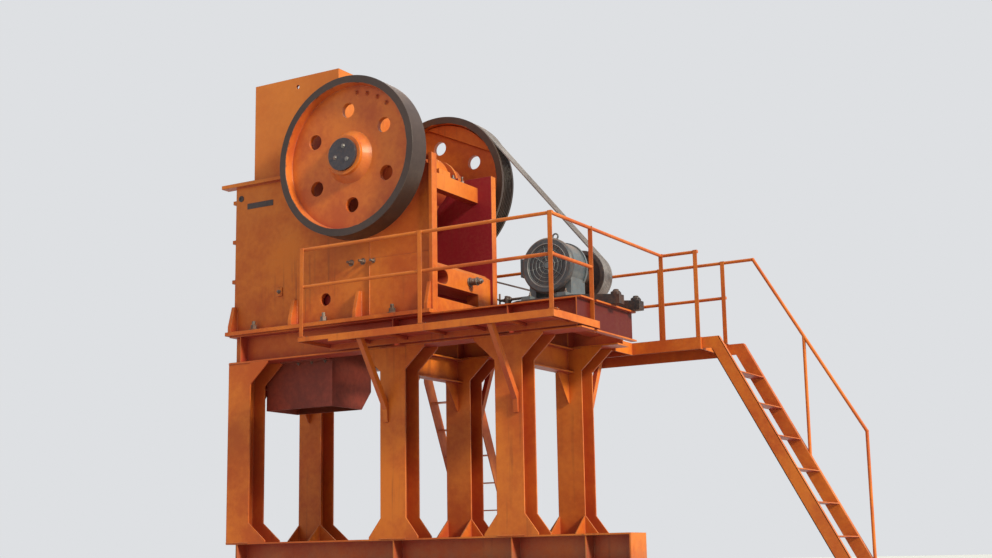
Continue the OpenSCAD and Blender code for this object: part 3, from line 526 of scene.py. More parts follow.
# Painted shade in red on every face turned towards the middle plane, and full painted shade below and in
# hollows.
SHADE_RED_PAINT = enamel("inner_painted_shade", inner=(SHAFT.y, 9.0), shade_share=1.0, film=0.12)
FLOOR_PAINT = enamel("floor_plate_enamel", tread=True)
STAND_PAINT = enamel("stand_enamel", shade_share=0.45, film=0.12)
# The web of the end channel gets painted shade in dark red.
END_PAINT = enamel("end_channel_enamel", web=WEB_X)
GROUND_PAINT = enamel("base_beam_enamel", splash=0.36, film=0.3)
RAIL_PAINT = enamel("handrail_enamel", wear=0.6, shade_share=0.25, runs=0.2, film=0.15)
print("materials so far:", len(bpy.data.materials))

# %% [markdown]
# ## Wheel finish
#
# A flywheel is orange on its disc and black on its rim. The two colours meet at a radius, so the
# mask is the distance from the shaft, and a little noise on it makes the line uneven.

# %% Wheel finish
RIM_R = WHEEL_R - 0.076
BLACK = linear(62, 45, 38)
DEEP_BLACK = linear(48, 32, 27)
RIM_RUBBED = linear(104, 92, 84)


def wheel_finish(name):
    material, g, shader = new_material(name)
    spot = g.spot()
    place = g.split(spot)
    skin = g.group(skin_tree, Grain=1.4, Dents=0.9).outputs
    edges = g.group(wear_tree, Radius=0.006, Amount=0.7, Break_up=8.0).outputs
    dusty = g.group(dust_tree, Amount=0.35, Film=0.06, Scale=2.6).outputs["Mask"]
    painted_shade = g.group(painted_shade_tree, Reach=0.22, Under=0.35).outputs["Mask"]
    dx = g.math("SUBTRACT", place["X"], SHAFT.x)
    dz = g.math("SUBTRACT", place["Z"], SHAFT.z)
    radius = g.math("SQRT", g.math("ADD", g.times(dx, dx), g.times(dz, dz)))
    uneven = g.math("SUBTRACT", g.noise(spot, 9.0, detail=5.0, rough=0.7), 0.5)
    edge = g.math("ADD", radius, g.times(uneven, 0.02))
    on_rim = g.ramp(edge, RIM_R - 0.002, RIM_R + 0.003)
    disc = g.blend(skin["Tone"], DEEP, ORANGE)
    # Painted shade: the disc is blended towards deep red where it looks down and in hollows.
    disc = g.blend(g.times(painted_shade, 0.75), disc, SHADE_RED)
    colour = g.blend(on_rim, disc, g.blend(skin["Tone"], DEEP_BLACK, BLACK))
    colour = g.blend(g.times(dusty, 0.7), colour, DUST)
    rough = g.math("MULTIPLY_ADD", dusty, 0.35, g.ramp(skin["Tone"], 0, 1, 0.46, 0.36))
    coat(g, shader, colour, RIM_RUBBED, edges, rough, skin["Height"], 0.0014)
    return material


WHEEL_PAINT = wheel_finish("wheel_enamel")
print("black from a radius of", round(RIM_R, 3))

# %% [markdown]
# ## Steel, rubber and motor paint
#
# The other finishes use the same effects with other colours: a light tone, a dark tone and the
# colour of a rubbed edge. Bare steel has rust in patches. The jaw plates are manganese steel,
# which stone polishes on the tips, so their worn edge is wide. The belts are grey with dust.

# %% A finish of two tones


def two_tone(name, light, dark, rub, metallic, rough, dust=0.5, film=0.3, radius=0.004, grain=1.0, rust=0.0):
    """A finish with a light and a dark tone, dust, rubbed edges and, with rust, brown patches."""
    material, g, shader = new_material(name)
    skin = g.group(skin_tree, Grain=grain, Dents=0.5).outputs
    edges = g.group(wear_tree, Radius=radius, Amount=0.7, Break_up=12.0).outputs
    dusty = g.group(dust_tree, Amount=dust, Film=film, Scale=3.0).outputs["Mask"]
    colour = g.blend(skin["Tone"], linear(*dark), linear(*light))
    roughness = g.ramp(skin["Tone"], 0, 1, rough + 0.06, rough - 0.06)
    if rust:
        patches = g.times(g.ramp(g.noise(g.spot(), 7.0, detail=8.0, rough=0.7), 0.45, 0.62), rust)
        colour = g.blend(patches, colour, RUST)
        roughness = g.math("MULTIPLY_ADD", patches, 0.3, roughness)
    colour = g.blend(dusty, colour, DUST)
    roughness = g.math("MULTIPLY_ADD", dusty, 0.3, roughness)
    g.put(shader.inputs["Metallic"], metallic)
    coat(g, shader, colour, linear(*rub), edges, roughness, skin["Height"], 0.0008)
    return material


# %% Paints of two tones
CLEAN = {"dust": 0.2, "film": 0.1}
MOTOR_PAINT = two_tone("motor_enamel", (92, 104, 112), (70, 81, 90), (150, 152, 150), 0.0, 0.34)
# Painted shade: the fan cover is dark grey for the shade in the opening behind its guard.
FAN_SHADE_PAINT = two_tone("fan_cover_painted_shade", (66, 72, 80), (50, 55, 63), (140, 142, 142), 0.0, 0.42)
PULLEY_PAINT = two_tone("pulley_enamel", (90, 80, 82), (64, 56, 58), (120, 116, 112), 0.3, 0.4)
CHUTE_PAINT = two_tone(
    "chute_enamel", (146, 52, 32), (104, 36, 26), (110, 80, 62), 0.0, 0.6, dust=0.3, film=0.1)
WIRE_PAINT = two_tone(
    "guard_wire_enamel", (138, 136, 138), (110, 108, 112), (176, 176, 176), 0.2, 0.4, **CLEAN)
PLATE_BLANK = two_tone(
    "blank_plate_enamel", (66, 54, 54), (48, 38, 40), (104, 92, 88), 0.2, 0.4, **CLEAN)
COVER_PAINT = two_tone(
    "shaft_cover_enamel", (60, 58, 66), (42, 40, 48), (120, 118, 118), 0.2, 0.36, film=0.2)
print("materials so far:", len(bpy.data.materials))

# %% Steel and rubber
STEEL = two_tone(
    "dull_steel", (128, 124, 122), (92, 88, 88), (178, 174, 168), 0.85, 0.42, rust=0.45)
BOLT_STEEL = two_tone(
    "bolt_steel", (112, 104, 100), (72, 66, 64), (160, 152, 144), 0.7, 0.45, rust=0.5)
RAIL_STEEL = two_tone(
    "greasy_rail_steel", (66, 62, 64), (40, 38, 42), (120, 114, 110), 0.5, 0.4, rust=0.25)
JAW_STEEL = two_tone(
    "manganese_steel", (104, 92, 86), (70, 60, 56), (186, 178, 168), 0.75, 0.4, rust=0.6, radius=0.012)
RUBBER = two_tone(
    "belt_rubber", (146, 140, 142), (104, 98, 100), (170, 164, 162), 0.0, 0.6, grain=0.3, **CLEAN)
print("materials so far:", len(bpy.data.materials))

# %% [markdown]
# ## Who wears what
#
# The CAD nodes keep their shape and their place, and get a finish. The table lists the nodes of
# each finish, and every node that it doesn't name is plain orange.

# %% Give each CAD node its finish
FINISH_OF = {
    PLATE_PAINT: ["side_plate_near", "side_plate_far"],
    FLOOR_PAINT: ["platform_near", "platform_far", "walkway", "stair_treads"],
    END_PAINT: ["motor_deck"],
    STAND_PAINT: ["columns_near", "columns_far"],
    CHUTE_PAINT: ["discharge_chute"],
    GROUND_PAINT: ["base_beams", "base_cross_beams"],
    RAIL_PAINT: ["railing_near", "railing_end", "railing_far", "walkway_railing", "stair_handrail",
                 "stair_stringers", "ladder"],
    WHEEL_PAINT: ["flywheel_near", "flywheel_far"],
    MOTOR_PAINT: ["motor_body", "motor_terminal_box"],
    FAN_SHADE_PAINT: ["motor_fan_cover"],
    STEEL: ["eccentric_shaft", "tension_rod"],
    RAIL_STEEL: ["motor_rails"],
    COVER_PAINT: ["shaft_end_covers"],
    PULLEY_PAINT: ["motor_pulley"],
    RUBBER: ["drive_belts"],
    JAW_STEEL: ["fixed_jaw_plate", "swing_jaw_plate", "cheek_plates"],
    SHADE_RED_PAINT: ["swing_jaw", "toggle_plate"],
}
finish_by_node = {node: finish for finish, names in FINISH_OF.items() for node in names}
for name, node in nodes.items():
    node.data.materials.clear()
    node.data.materials.append(finish_by_node.get(name, PAINT))
print("nodes in plain orange:", sorted(set(nodes) - set(finish_by_node)))

# %% [markdown]
# ## Floor finish and background
#
# The floor is pale and dull, with faint clouds in its tone. The background is a pale grey that
# only the camera, mirrors and glass see. A weaker daylight lights the rest, so that a bright
# background doesn't wash out the shadows.

# %% Floor finish
floor_material, g, shader = new_material("pale_floor")
clouds = g.ramp(g.noise(g.spot(), 0.8, detail=5.0, rough=0.6), 0.3, 0.7)
g.put(shader.inputs["Base Color"], g.blend(clouds, linear(206, 206, 204), linear(214, 214, 212)))
g.put(shader.inputs["Roughness"], 0.9)
floor_mesh.materials.append(floor_material)
print("floor finish:", floor_material.name)

# %% Background
world = bpy.data.worlds.new("studio")
world.use_nodes = True
world.node_tree.nodes.clear()
scene.world = world
g = Graph(world.node_tree)
rays = g.add("ShaderNodeLightPath").outputs
seen = g.math("MAXIMUM", rays["Is Camera Ray"], rays["Is Glossy Ray"])
seen = g.math("MAXIMUM", seen, rays["Is Transmission Ray"])
daylight = g.add("ShaderNodeBackground", {"Color": linear(214, 214, 216), "Strength": 0.42})
backdrop = g.add("ShaderNodeBackground", {"Color": linear(222, 224, 227), "Strength": 1.0})
chosen = g.add("ShaderNodeMixShader", {0: seen, 1: daylight.outputs[0], 2: backdrop.outputs[0]})
g.add("ShaderNodeOutputWorld", {"Surface": chosen.outputs[0]})
print("world:", world.name)

# %% [markdown]
# ## Tools for small parts
#
# Small parts are gathered into one mesh for each group that moves together. `Shape` can turn a
# profile as a lathe does. When the group is complete, `done()` makes it one piece, gives it a
# finish and tells the frame which body it rides on. All places are in the terms of `here()`.

# %% Turned shapes


def cross_axes(axis):
    """The axis and two directions square to it, all of length one."""
    axis = axis.normalized()
    side = axis.orthogonal().normalized()
    return axis, side, axis.cross(side)


class Shape:
    """Gathers small parts into one mesh."""

    def __init__(self):
        self.mesh = bmesh.new()

    def ring(self, middle, side, other, radius, steps, turn=0.0):
        points = []
        for k in range(steps):
            a = turn + 2 * math.pi * k / steps
            points.append(middle + (side * math.cos(a) + other * math.sin(a)) * radius)
        return [self.mesh.verts.new(point) for point in points]

    def skin(self, first, second):
        for k in range(len(first)):
            n = (k + 1) % len(first)
            self.mesh.faces.new((first[k], first[n], second[n], second[k]))

    def close(self, first, last):
        """The two end faces of a skinned form."""
        self.mesh.faces.new(list(reversed(first)))
        self.mesh.faces.new(last)

    def turned(self, place, axis, profile, steps=20, turn=0.0):
        """A solid of revolution. profile is a list of (distance along the axis, radius)."""
        axis, side, other = cross_axes(axis)
        rings = [self.ring(place + axis * t, side, other, radius, steps, turn) for t, radius in profile]
        for first, second in zip(rings, rings[1:]):
            self.skin(first, second)
        self.close(rings[0], rings[-1])

    def done(self, name, finish, body, slot_name):
        mesh = bpy.data.meshes.new(name)
        bmesh.ops.recalc_face_normals(self.mesh, faces=self.mesh.faces[:])
        self.mesh.to_mesh(mesh)
        self.mesh.free()
        for face in mesh.polygons:
            face.use_smooth = True
        mesh.set_sharp_from_angle(angle=math.radians(32))
        mesh.materials.append(finish)
        piece = bpy.data.objects.new(name, mesh)
        scene.collection.objects.link(piece)
        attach(piece, body)
        print(name, len(mesh.polygons), "faces on", body)
        return piece


print("Shape: turned forms")

# %% [markdown]
# ## Tubes, plates and bars
#
# A bent tube is a row of rings along a line of points. A plate is a cube whose corners are moved
# into place and whose edges are taken off, because a sawn plate without a bevel catches no
# light. A flat bar may lie at any angle, so its width and thickness are given as vectors.

# %% Tubes, plates and bars


class Stock(Shape):
    """A Shape that can also make tubes, plates and flat bars."""

    def tube(self, points, radius, steps=8, closed=False):
        """A round tube along a line of points."""
        count = len(points)
        rings = []
        for k, point in enumerate(points):
            before = points[k - 1] if k or closed else point
            after = points[(k + 1) % count] if k < count - 1 or closed else point
            along = (after - before).normalized()
            side = along.cross(ALONG_Y)
            side = side.normalized() if side.length > 0.05 else along.cross(ALONG_Z).normalized()
            rings.append(self.ring(point, side, along.cross(side), radius, steps))
        for first, second in zip(rings, rings[1:]):
            self.skin(first, second)
        if closed:
            self.skin(rings[-1], rings[0])
        else:
            self.close(rings[0], rings[-1])

    def slab(self, a, b, soft=0.002):
        """A plate between two corners, with its edges taken off."""
        low_corner = Vector([min(p, q) for p, q in zip(a, b)])
        size = Vector([abs(p - q) for p, q in zip(a, b)])
        made = bmesh.ops.create_cube(self.mesh, size=1.0)["verts"]
        for vert in made:
            vert.co = low_corner + Vector([(c + 0.5) * s for c, s in zip(vert.co, size)])
        edges = list(dict.fromkeys(edge for vert in made for edge in vert.link_edges))
        width = min(soft, min(size) * 0.4)
        bmesh.ops.bevel(self.mesh, geom=edges, offset=width, segments=2, affect="EDGES", profile=0.5)

    def strip(self, a, b, across, thick):
        """A flat bar from a to b, with its width and its thickness given as vectors."""
        corners = [Vector((0, 0, 0)), across, across + thick, thick]
        first = [self.mesh.verts.new(a + corner) for corner in corners]
        second = [self.mesh.verts.new(b + corner) for corner in corners]
        self.skin(first, second)
        self.close(first, second)


print("Stock: tubes, plates and bars")

# %% [markdown]
# ## Welds, bolts and threads
#
# A bead of weld is a thin turned form that swells and shrinks, one ripple for each drop of metal,
# a little uneven. A bolt is a washer, a hexagon head turned to a random angle and, where it is
# long, the threaded end that stands out of its nut. The seed is fixed, so each run is the same.

# %% Welds, bolts and threads


class Fittings(Stock):
    """A Shape that can also make weld beads, bolts and threads."""

    def bead(self, a, b, radius=0.007, pitch=0.011):
        length = (b - a).length
        steps = 2 * max(2, int(length / pitch))
        profile = []
        for k in range(steps + 1):
            swell = 1.0 if k % 2 else 0.78
            profile.append((length * k / steps, radius * swell * random.uniform(0.9, 1.1)))
        self.turned(a, b - a, profile, 7)

    def thread(self, place, axis, length, radius, pitch=0.004):
        steps = 2 * max(2, int(length / pitch))
        profile = [(length * k / steps, radius * (1.0 if k % 2 else 0.9)) for k in range(steps)]
        self.turned(place, axis, profile + [(length, radius * 0.78)], 12)

    def bolt(self, place, axis, size, head=0.8, stud=0.0):
        """A washer and a head or nut. size is half the width over flats, head the height in sizes
        and stud the length of the thread that stands out."""
        turn = random.uniform(0, 1.0)
        axis = axis.normalized()
        washer_top = size * 0.3
        top = washer_top + size * head
        washer = [(0, size * 1.55), (size * 0.18, size * 1.6), (washer_top, size * 1.5)]
        hexagon = [(washer_top, size * 1.1), (top - size * 0.16, size * 1.1), (top, size * 0.92)]
        self.turned(place, axis, washer, 20)
        self.turned(place, axis, hexagon, 6, turn)
        if stud:
            self.thread(place + axis * top, axis, stud, size * 0.62)


SIDES = (-1, 1)
random.seed(7)
print("Fittings: welds, bolts and threads")

# %% [markdown]
# ## Bolts and welds of the side plates
#
# Each side plate stands on a flange that is bolted down to the beams. Ribs and flanges are
# welded on, so a bead runs along each joint, and a thin one marks the seam between two plates.
# Three long bolts hold the liners inside, and a short one sits further forward. The joints are
# found from the plate's own box, and one loop makes both sides.

# %% Side plate bolts and welds
PLATE_Y = 0.585
FLANGE_TOP = DECK_Z + 0.04
FLANGE_EDGE_Y = 0.688
TOP_Z = high("side_plate_near").z - 0.04
FRONT_X = low("side_plate_near").x + 0.16
REAR_X = high("side_plate_near").x - 0.01
BODY_L = REAR_X - FRONT_X
RIBS = [FRONT_X + 0.02, FRONT_X + 0.324 * BODY_L, REAR_X - 0.354 * BODY_L, REAR_X - 0.04]
RIB_HALF = 0.021
RIB_H = 0.28
HOLD_DOWN = [FRONT_X + 0.325, FRONT_X + 1.25, REAR_X - 0.465]
HOLD_DOWN_Y = 0.652
TOP_FLANGE_END = 0.38
SEAM_X = 0.031
SEAM_FOOT = 0.61
LINER_BOLTS = ((-0.202, 3.098), (-0.055, 3.097), (0.087, 3.085))

bolts = Fittings()
welds = Fittings()
for sign in SIDES:
    y = sign * PLATE_Y
    seam_y = sign * (PLATE_Y + 0.012)
    for x in HOLD_DOWN:
        bolts.bolt(here(x, sign * HOLD_DOWN_Y, FLANGE_TOP), ALONG_Z, 0.031, 1.5, 0.04)
    for x in RIBS:
        for edge_x in (x - RIB_HALF, x + RIB_HALF):
            foot = here(edge_x, y, FLANGE_TOP)
            welds.bead(foot, here(edge_x, y, FLANGE_TOP + RIB_H), 0.009)
            welds.bead(foot, here(edge_x, sign * FLANGE_EDGE_Y, FLANGE_TOP), 0.008)
    welds.bead(here(FRONT_X, y, FLANGE_TOP), here(REAR_X, y, FLANGE_TOP), 0.010)
    welds.bead(here(FRONT_X, y, TOP_Z), here(TOP_FLANGE_END, y, TOP_Z), 0.009)
    welds.bead(here(SEAM_X, y, FLANGE_TOP + SEAM_FOOT), here(SEAM_X, y, TOP_Z), 0.0035)
    seam = [here(SEAM_X + 0.004, seam_y, FLANGE_TOP + z) for z in (0, SEAM_FOOT - 0.01)]
    welds.bead(seam[0], seam[1], 0.007)
    for x, z in LINER_BOLTS:
        bolts.bolt(here(x, y, z), ALONG_Y * sign, 0.022, 0.85, 0.05)
    bolts.bolt(here(-1.136, y, 2.898), ALONG_Y * sign, 0.020, 0.8, 0.02)
bolts.done("side_plate_bolts", BOLT_STEEL, "frame", "bare_steel")
welds.done("side_plate_welds", PAINT, "frame", "frame_paint")

# %% [markdown]
# ## Bosses and the blank plate
#
# The near plate has a small pad under the short bolt, and both have a round boss on the front of
# the rear flange, near its top. The name plate says nothing. It is held by four small rivets, and
# a plug sits in the side plate beside it. Round things are turned from a profile of a few points,
# which is how a lathe makes them too.

# %% Bosses
NEAR_FACE = -PLATE_Y + 0.001
boss = Fittings()
boss.slab(here(-1.172, NEAR_FACE, 2.850), here(-1.100, NEAR_FACE - 0.013, 2.944))
for sign in SIDES:
    centre = here(REAR_X - 0.047, sign * 0.62, TOP_Z - 0.09)
    boss.turned(centre, -ALONG_X, [(0, 0.02), (0.02, 0.02), (0.024, 0.016)], 16)
boss.done("side_plate_bosses", PAINT, "frame", "frame_paint")

# %% Blank plate and plug
BLANK_LOW = here(-1.598, NEAR_FACE, 3.856)
BLANK_HIGH = here(-1.240, NEAR_FACE - 0.005, 3.919)
RIVET = [(0, 0.005), (0.002, 0.0045), (0.003, 0.002)]
RIVET_INSET = 0.010
PLUG = [(0, 0.034), (0.008, 0.034), (0.010, 0.031), (0.010, 0.018), (0.004, 0.016)]
blank = Fittings()
blank.slab(BLANK_LOW, BLANK_HIGH, 0.003)
for x in (BLANK_LOW.x + RIVET_INSET, BLANK_HIGH.x - RIVET_INSET):
    for z in (BLANK_LOW.z + RIVET_INSET, BLANK_HIGH.z - RIVET_INSET):
        blank.turned(Vector((x, BLANK_HIGH.y, z)), -ALONG_Y, RIVET, 12)
blank.turned(here(-1.684, NEAR_FACE + 0.001, 3.985), -ALONG_Y, PLUG, 28)
blank.done("blank_plate", PLATE_BLANK, "frame", "bare_steel")

# %% [markdown]
# ## Bolts that turn with the wheels
#
# Four bolts through each disc hold the balance weight, on a short arc. Three lighter bolts hold
# each shaft end cover. These turn with the crank, so they ride on it. `around` gives a point on a
# circle round one of the two shafts, because nearly all fittings of wheels sit on such circles.

# %% Bolts of the balance weights and the end covers
DISC_Y = -low("flywheel_near").y - 0.113
COVER_Y = -low("shaft_end_covers").y


def around(shaft, angle, radius, y):
    """A point round a shaft, with the angle in degrees above the line to the rear."""
    a = math.radians(angle)
    return here(shaft.x - SHAFT.x + radius * math.cos(a), y, shaft.z + radius * math.sin(a))


turning = Fittings()
for sign in SIDES:
    for angle in (83, 71.7, 59.8, 48):
        turning.bolt(around(SHAFT, angle, 0.672, sign * DISC_Y), ALONG_Y * sign, 0.016, 0.75, 0.010)
turning.done("balance_weight_bolts", SHADE_RED_PAINT, "crank", "frame_paint")

cover_bolts = Fittings()
for sign in SIDES:
    for angle in (78, 198, 318):
        cover_bolts.bolt(around(SHAFT, angle, 0.085, sign * COVER_Y), ALONG_Y * sign, 0.015, 0.7)
cover_bolts.done("cover_bolts", STEEL, "crank", "bare_steel")

# %% [markdown]
# ## Bearing housings
#
# The housings stay still while the shaft turns in them. Each has a ring of small bolts for its
# cover, larger ones for its flange, and a grease nipple on top. The bolts could be copies of one,
# but a loop that makes each anew gives every head its own turn.

# %% Bearing bolts and grease nipples
NIPPLE = [(0, 0.010), (0.012, 0.010), (0.014, 0.006), (0.026, 0.006), (0.030, 0.008), (0.036, 0.007),
          (0.040, 0.004)]
bearing_bolts = Fittings()
nipples = Fittings()
for sign in SIDES:
    cover_y = sign * (PLATE_Y + 0.110)
    flange_y = sign * (PLATE_Y + 0.100)
    for k in range(10):
        bearing_bolts.bolt(around(SHAFT, 18 + 36 * k, 0.226, cover_y), ALONG_Y * sign, 0.012, 0.7)
    for angle in range(0, 360, 30):
        if angle not in (0, 180):
            bearing_bolts.bolt(around(SHAFT, angle, 0.282, flange_y), ALONG_Y * sign, 0.015, 0.75)
    nipples.turned(around(SHAFT, 90, 0.248, sign * (PLATE_Y + 0.085)), ALONG_Z, NIPPLE, 12)
bearing_bolts.done("bearing_bolts", BOLT_STEEL, "frame", "bare_steel")
nipples.done("grease_nipples", STEEL, "frame", "bare_steel")

# %% [markdown]
# ## Tension rod and spring
#
# A threaded rod goes through the toggle beam. Its nuts press a coil spring between two washers,
# and that pulls the swing jaw back onto its toggle plate. The coil is a tube along a helix, as a
# mesh like all the rest. A curve with a bevel would look the same.

# %% Tension rod and spring
ROD = here(0.785, 0.12, DECK_Z + 0.425)
TURNS = 5
STEPS_A_TURN = 20
rod = Fittings()
rod.turned(ROD - ALONG_X * 0.28, ALONG_X, [(0, 0.022), (0.30, 0.022)], 20)
rod.thread(ROD + ALONG_X * 0.02, ALONG_X, 0.140, 0.018, 0.005)
for start, radius in ((0.0, 0.050), (0.088, 0.044)):
    washer = [(0, radius), (0.010, radius), (0.012, radius - 0.002)]
    rod.turned(ROD + ALONG_X * start, ALONG_X, washer, 28)
for start in (0.100, 0.122):
    nut = [(0, 0.030), (0.002, 0.032), (0.018, 0.032), (0.020, 0.028)]
    rod.turned(ROD + ALONG_X * start, ALONG_X, nut, 6, 0.3 + start * 4)
coil = []
for k in range(TURNS * STEPS_A_TURN + 1):
    a = 2 * math.pi * k / STEPS_A_TURN
    along = 0.016 + 0.068 * k / (TURNS * STEPS_A_TURN)
    coil.append(ROD + Vector((along, 0.032 * math.cos(a), 0.032 * math.sin(a))))
rod.tube(coil, 0.0055, 8)
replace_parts(rod.done("spring_rod", STEEL, "frame", "bare_steel"), "tension_rod")

# %% [markdown]
# ## Bolts of the upper rear beam
#
# Five bolts of different lengths stand on the upper rear beam. They are unevenly spaced, so a
# list gives the place and the length of each.

# %% Rear beam bolts
TOP_BEAM_X = low("rear_top_beam").x + 0.05
rear = Fittings()
for y, tall in ((-0.47, 0.05), (-0.40, 0.03), (-0.30, 0.06), (0.12, 0.03), (0.30, 0.05)):
    rear.bolt(here(TOP_BEAM_X, y, TOP_Z - 0.11), ALONG_Z, 0.022, 1.2, tall)
rear.done("rear_beam_bolts", STEEL, "frame", "bare_steel")

# %% [markdown]
# ## Fan guard
#
# The near end of the motor is a fan cover: a wire guard of rings and spokes over an opening. The cover is
# painted dark grey as shade for the opening behind the guard. Each wire is a thin tube, because an image of a
# guard would look flat from the side. The outermost ring is a lighter lip.

# %% Fan guard
FAN_Y = low("motor_fan_cover").y
WIRE_RINGS = (0.045, 0.085, 0.125, 0.165, 0.205)
LIP_R = 0.2195


def circle(radius, y, count):
    """Points of a circle round the motor shaft."""
    return [around(MOTOR, 360 * k / count, radius, y) for k in range(count)]


guard = Fittings()
for radius in WIRE_RINGS:
    guard.tube(circle(radius, FAN_Y + 0.010, 48), 0.0035, 6, closed=True)
for k in range(8):
    angle = 45 * k + 10
    guard.tube([around(MOTOR, angle, r, FAN_Y + 0.013) for r in (0.04, 0.209)], 0.004, 6)
guard.turned(around(MOTOR, 0, 0, FAN_Y + 0.006), ALONG_Y, [(0, 0.030), (0.004, 0.034), (0.012, 0.034)], 24)
guard.done("fan_guard", MOTOR_PAINT, "frame", "motor_paint")
lip = Fittings()
lip.tube(circle(LIP_R, FAN_Y + 0.004, 72), 0.006, 8, closed=True)
lip.done("fan_guard_ring", WIRE_PAINT, "frame", "motor_paint")

# %% [markdown]
# ## Lifting eye and terminal box
#
# A lifting eye stands on top of the motor: a turned neck with a ring of bent bar, which is a tube
# closed on itself. The terminal box has a lid on its outer side, and a cable gland below.

# %% Lifting eye, lid and gland
MOTOR_R = 0.282
EYE_LOOP_R = 0.030
EYE_STEPS = 28
GLAND = [(0, 0.026), (0.012, 0.026), (0.014, 0.020), (0.030, 0.019), (0.032, 0.012)]
box_low = low("motor_terminal_box")
box_high = high("motor_terminal_box")
band = around(MOTOR, 90, MOTOR_R - 0.014, FAN_Y + 0.20)
loop = []
for k in range(EYE_STEPS):
    a = 2 * math.pi * k / EYE_STEPS
    loop.append(band + Vector((EYE_LOOP_R * math.cos(a), 0, 0.058 + EYE_LOOP_R * math.sin(a))))
eye = Fittings()
neck = [(0, 0.026), (0.016, 0.024), (0.022, 0.014), (0.030, 0.013)]
eye.turned(band - ALONG_Z * 0.004, ALONG_Z, neck, 20)
eye.tube(loop, 0.009, 10, closed=True)
lid_low = here(box_low.x + 0.002, box_low.y - 0.006, box_low.z - 0.006)
lid_high = here(box_low.x - 0.012, box_high.y + 0.006, box_high.z + 0.006)
eye.slab(lid_low, lid_high, 0.004)
eye.turned(here(box_low.x + 0.07, box_low.y + 0.06, box_low.z + 0.002), -ALONG_Z, GLAND, 18)
eye.done("motor_eye_and_lid", MOTOR_PAINT, "frame", "motor_paint")

# %% [markdown]
# ## Screws of the motor
#
# Four small screws hold the lid of the terminal box, and a bolt in each foot holds the motor to
# its slide rails. Their places come from the boxes of the CAD nodes, so they sit on them.

# %% Motor screws
RAIL_TOP = high("motor_rails").z
RAILS = (low("motor_rails").y + 0.05, high("motor_rails").y - 0.05)
MOTOR_X = MOTOR.x - SHAFT.x
LID_INSET = 0.014
screws = Fittings()
for y in (box_low.y + LID_INSET, box_high.y - LID_INSET):
    for z in (box_low.z + LID_INSET, box_high.z - LID_INSET):
        screws.bolt(here(box_low.x - 0.012, y, z), -ALONG_X, 0.006, 0.6)
for y in RAILS:
    for x in (MOTOR_X - 0.2, MOTOR_X + 0.2):
        screws.bolt(here(x + 0.026, y, RAIL_TOP + 0.035), ALONG_Z, 0.015, 0.85, 0.025)
screws.done("motor_screws", BOLT_STEEL, "frame", "bare_steel")

# %% [markdown]
# ## Slide rails
#
# The belts are tightened by pushing the motor along its rails. On each rail a block carries a
# long screw with a nut on either side, and two round bars near the screw's end let a fitter turn
# it. A clamp at the rear end keeps the rail down on the deck. One loop makes both rails.

# %% Screws of the slide rails
SCREW_Z = RAIL_TOP + 0.03
BLOCK_X = MOTOR_X - 0.43
RAIL_END_X = high("motor_rails").x


def bar(length):
    """Profile of a thin round bar with softened ends."""
    return [(0, 0.008), (0.004, 0.010), (length - 0.004, 0.010), (length, 0.008)]


jacks = Fittings()
for y in RAILS:
    block_low = here(BLOCK_X - 0.016, y - 0.042, RAIL_TOP - 0.04)
    jacks.slab(block_low, here(BLOCK_X + 0.016, y + 0.042, SCREW_Z + 0.036), 0.005)
    jacks.thread(here(BLOCK_X - 0.10, y, SCREW_Z), ALONG_X, 0.28, 0.014, 0.005)
    jacks.bolt(here(BLOCK_X + 0.016, y, SCREW_Z), ALONG_X, 0.022)
    jacks.bolt(here(BLOCK_X - 0.016, y, SCREW_Z), -ALONG_X, 0.022)
    jacks.turned(here(BLOCK_X - 0.095, y, SCREW_Z - 0.07), ALONG_Z, bar(0.140), 12)
    jacks.turned(here(BLOCK_X - 0.075, y - 0.075, SCREW_Z), ALONG_Y, bar(0.150), 12)
    clamp_low = here(RAIL_END_X - 0.10, y - 0.048, DECK_Z + 0.07)
    jacks.slab(clamp_low, here(RAIL_END_X - 0.02, y + 0.048, DECK_Z + 0.125), 0.014)
    jacks.bolt(here(RAIL_END_X - 0.06, y, DECK_Z + 0.120), ALONG_Z, 0.026, 0.7)
jacks.done("rail_screws", RAIL_STEEL, "frame", "bare_steel")

# %% [markdown]
# ## Columns, base beams and chute
#
# Welds run along the feet and heads of the columns, near and far. Anchor bolts stand on the lower
# flange of the base beams, beside each column. The chute hangs from the main beams by a row of
# bolts on either side, which are left out where a column is in the way.

# %% Column welds, anchor bolts and chute bolts
COLUMN_OUTSIDE_Y = (-0.66, 0.79)
COLUMN_DEPTH = 0.25
COLUMN_HALF = 0.1475
COLUMNS = (low("columns_near").x + COLUMN_HALF, 0.357, 1.681)
FOOT_Z = low("columns_near").z
ANCHOR_STEP = 0.30
BEAM_FRONT = low("base_beams").x
stand_welds = Fittings()
anchors = Fittings()
for row, outside in zip(SIDES, COLUMN_OUTSIDE_Y):
    for x in COLUMNS:
        for z in (FOOT_Z, DECK_Z - 0.300):
            for y in (outside, outside - row * COLUMN_DEPTH):
                stand_welds.bead(here(x - COLUMN_HALF, y, z), here(x + COLUMN_HALF, y, z), 0.008)
        for anchor_x in (x - ANCHOR_STEP, x + ANCHOR_STEP):
            if anchor_x < BEAM_FRONT:
                continue
            for inset in (0.045, 0.275):
                anchor = here(anchor_x, outside - row * inset, 0.016)
                anchors.bolt(anchor, ALONG_Z, 0.020, 0.85, 0.035)
stand_welds.done("stand_welds", PAINT, "frame", "frame_paint")

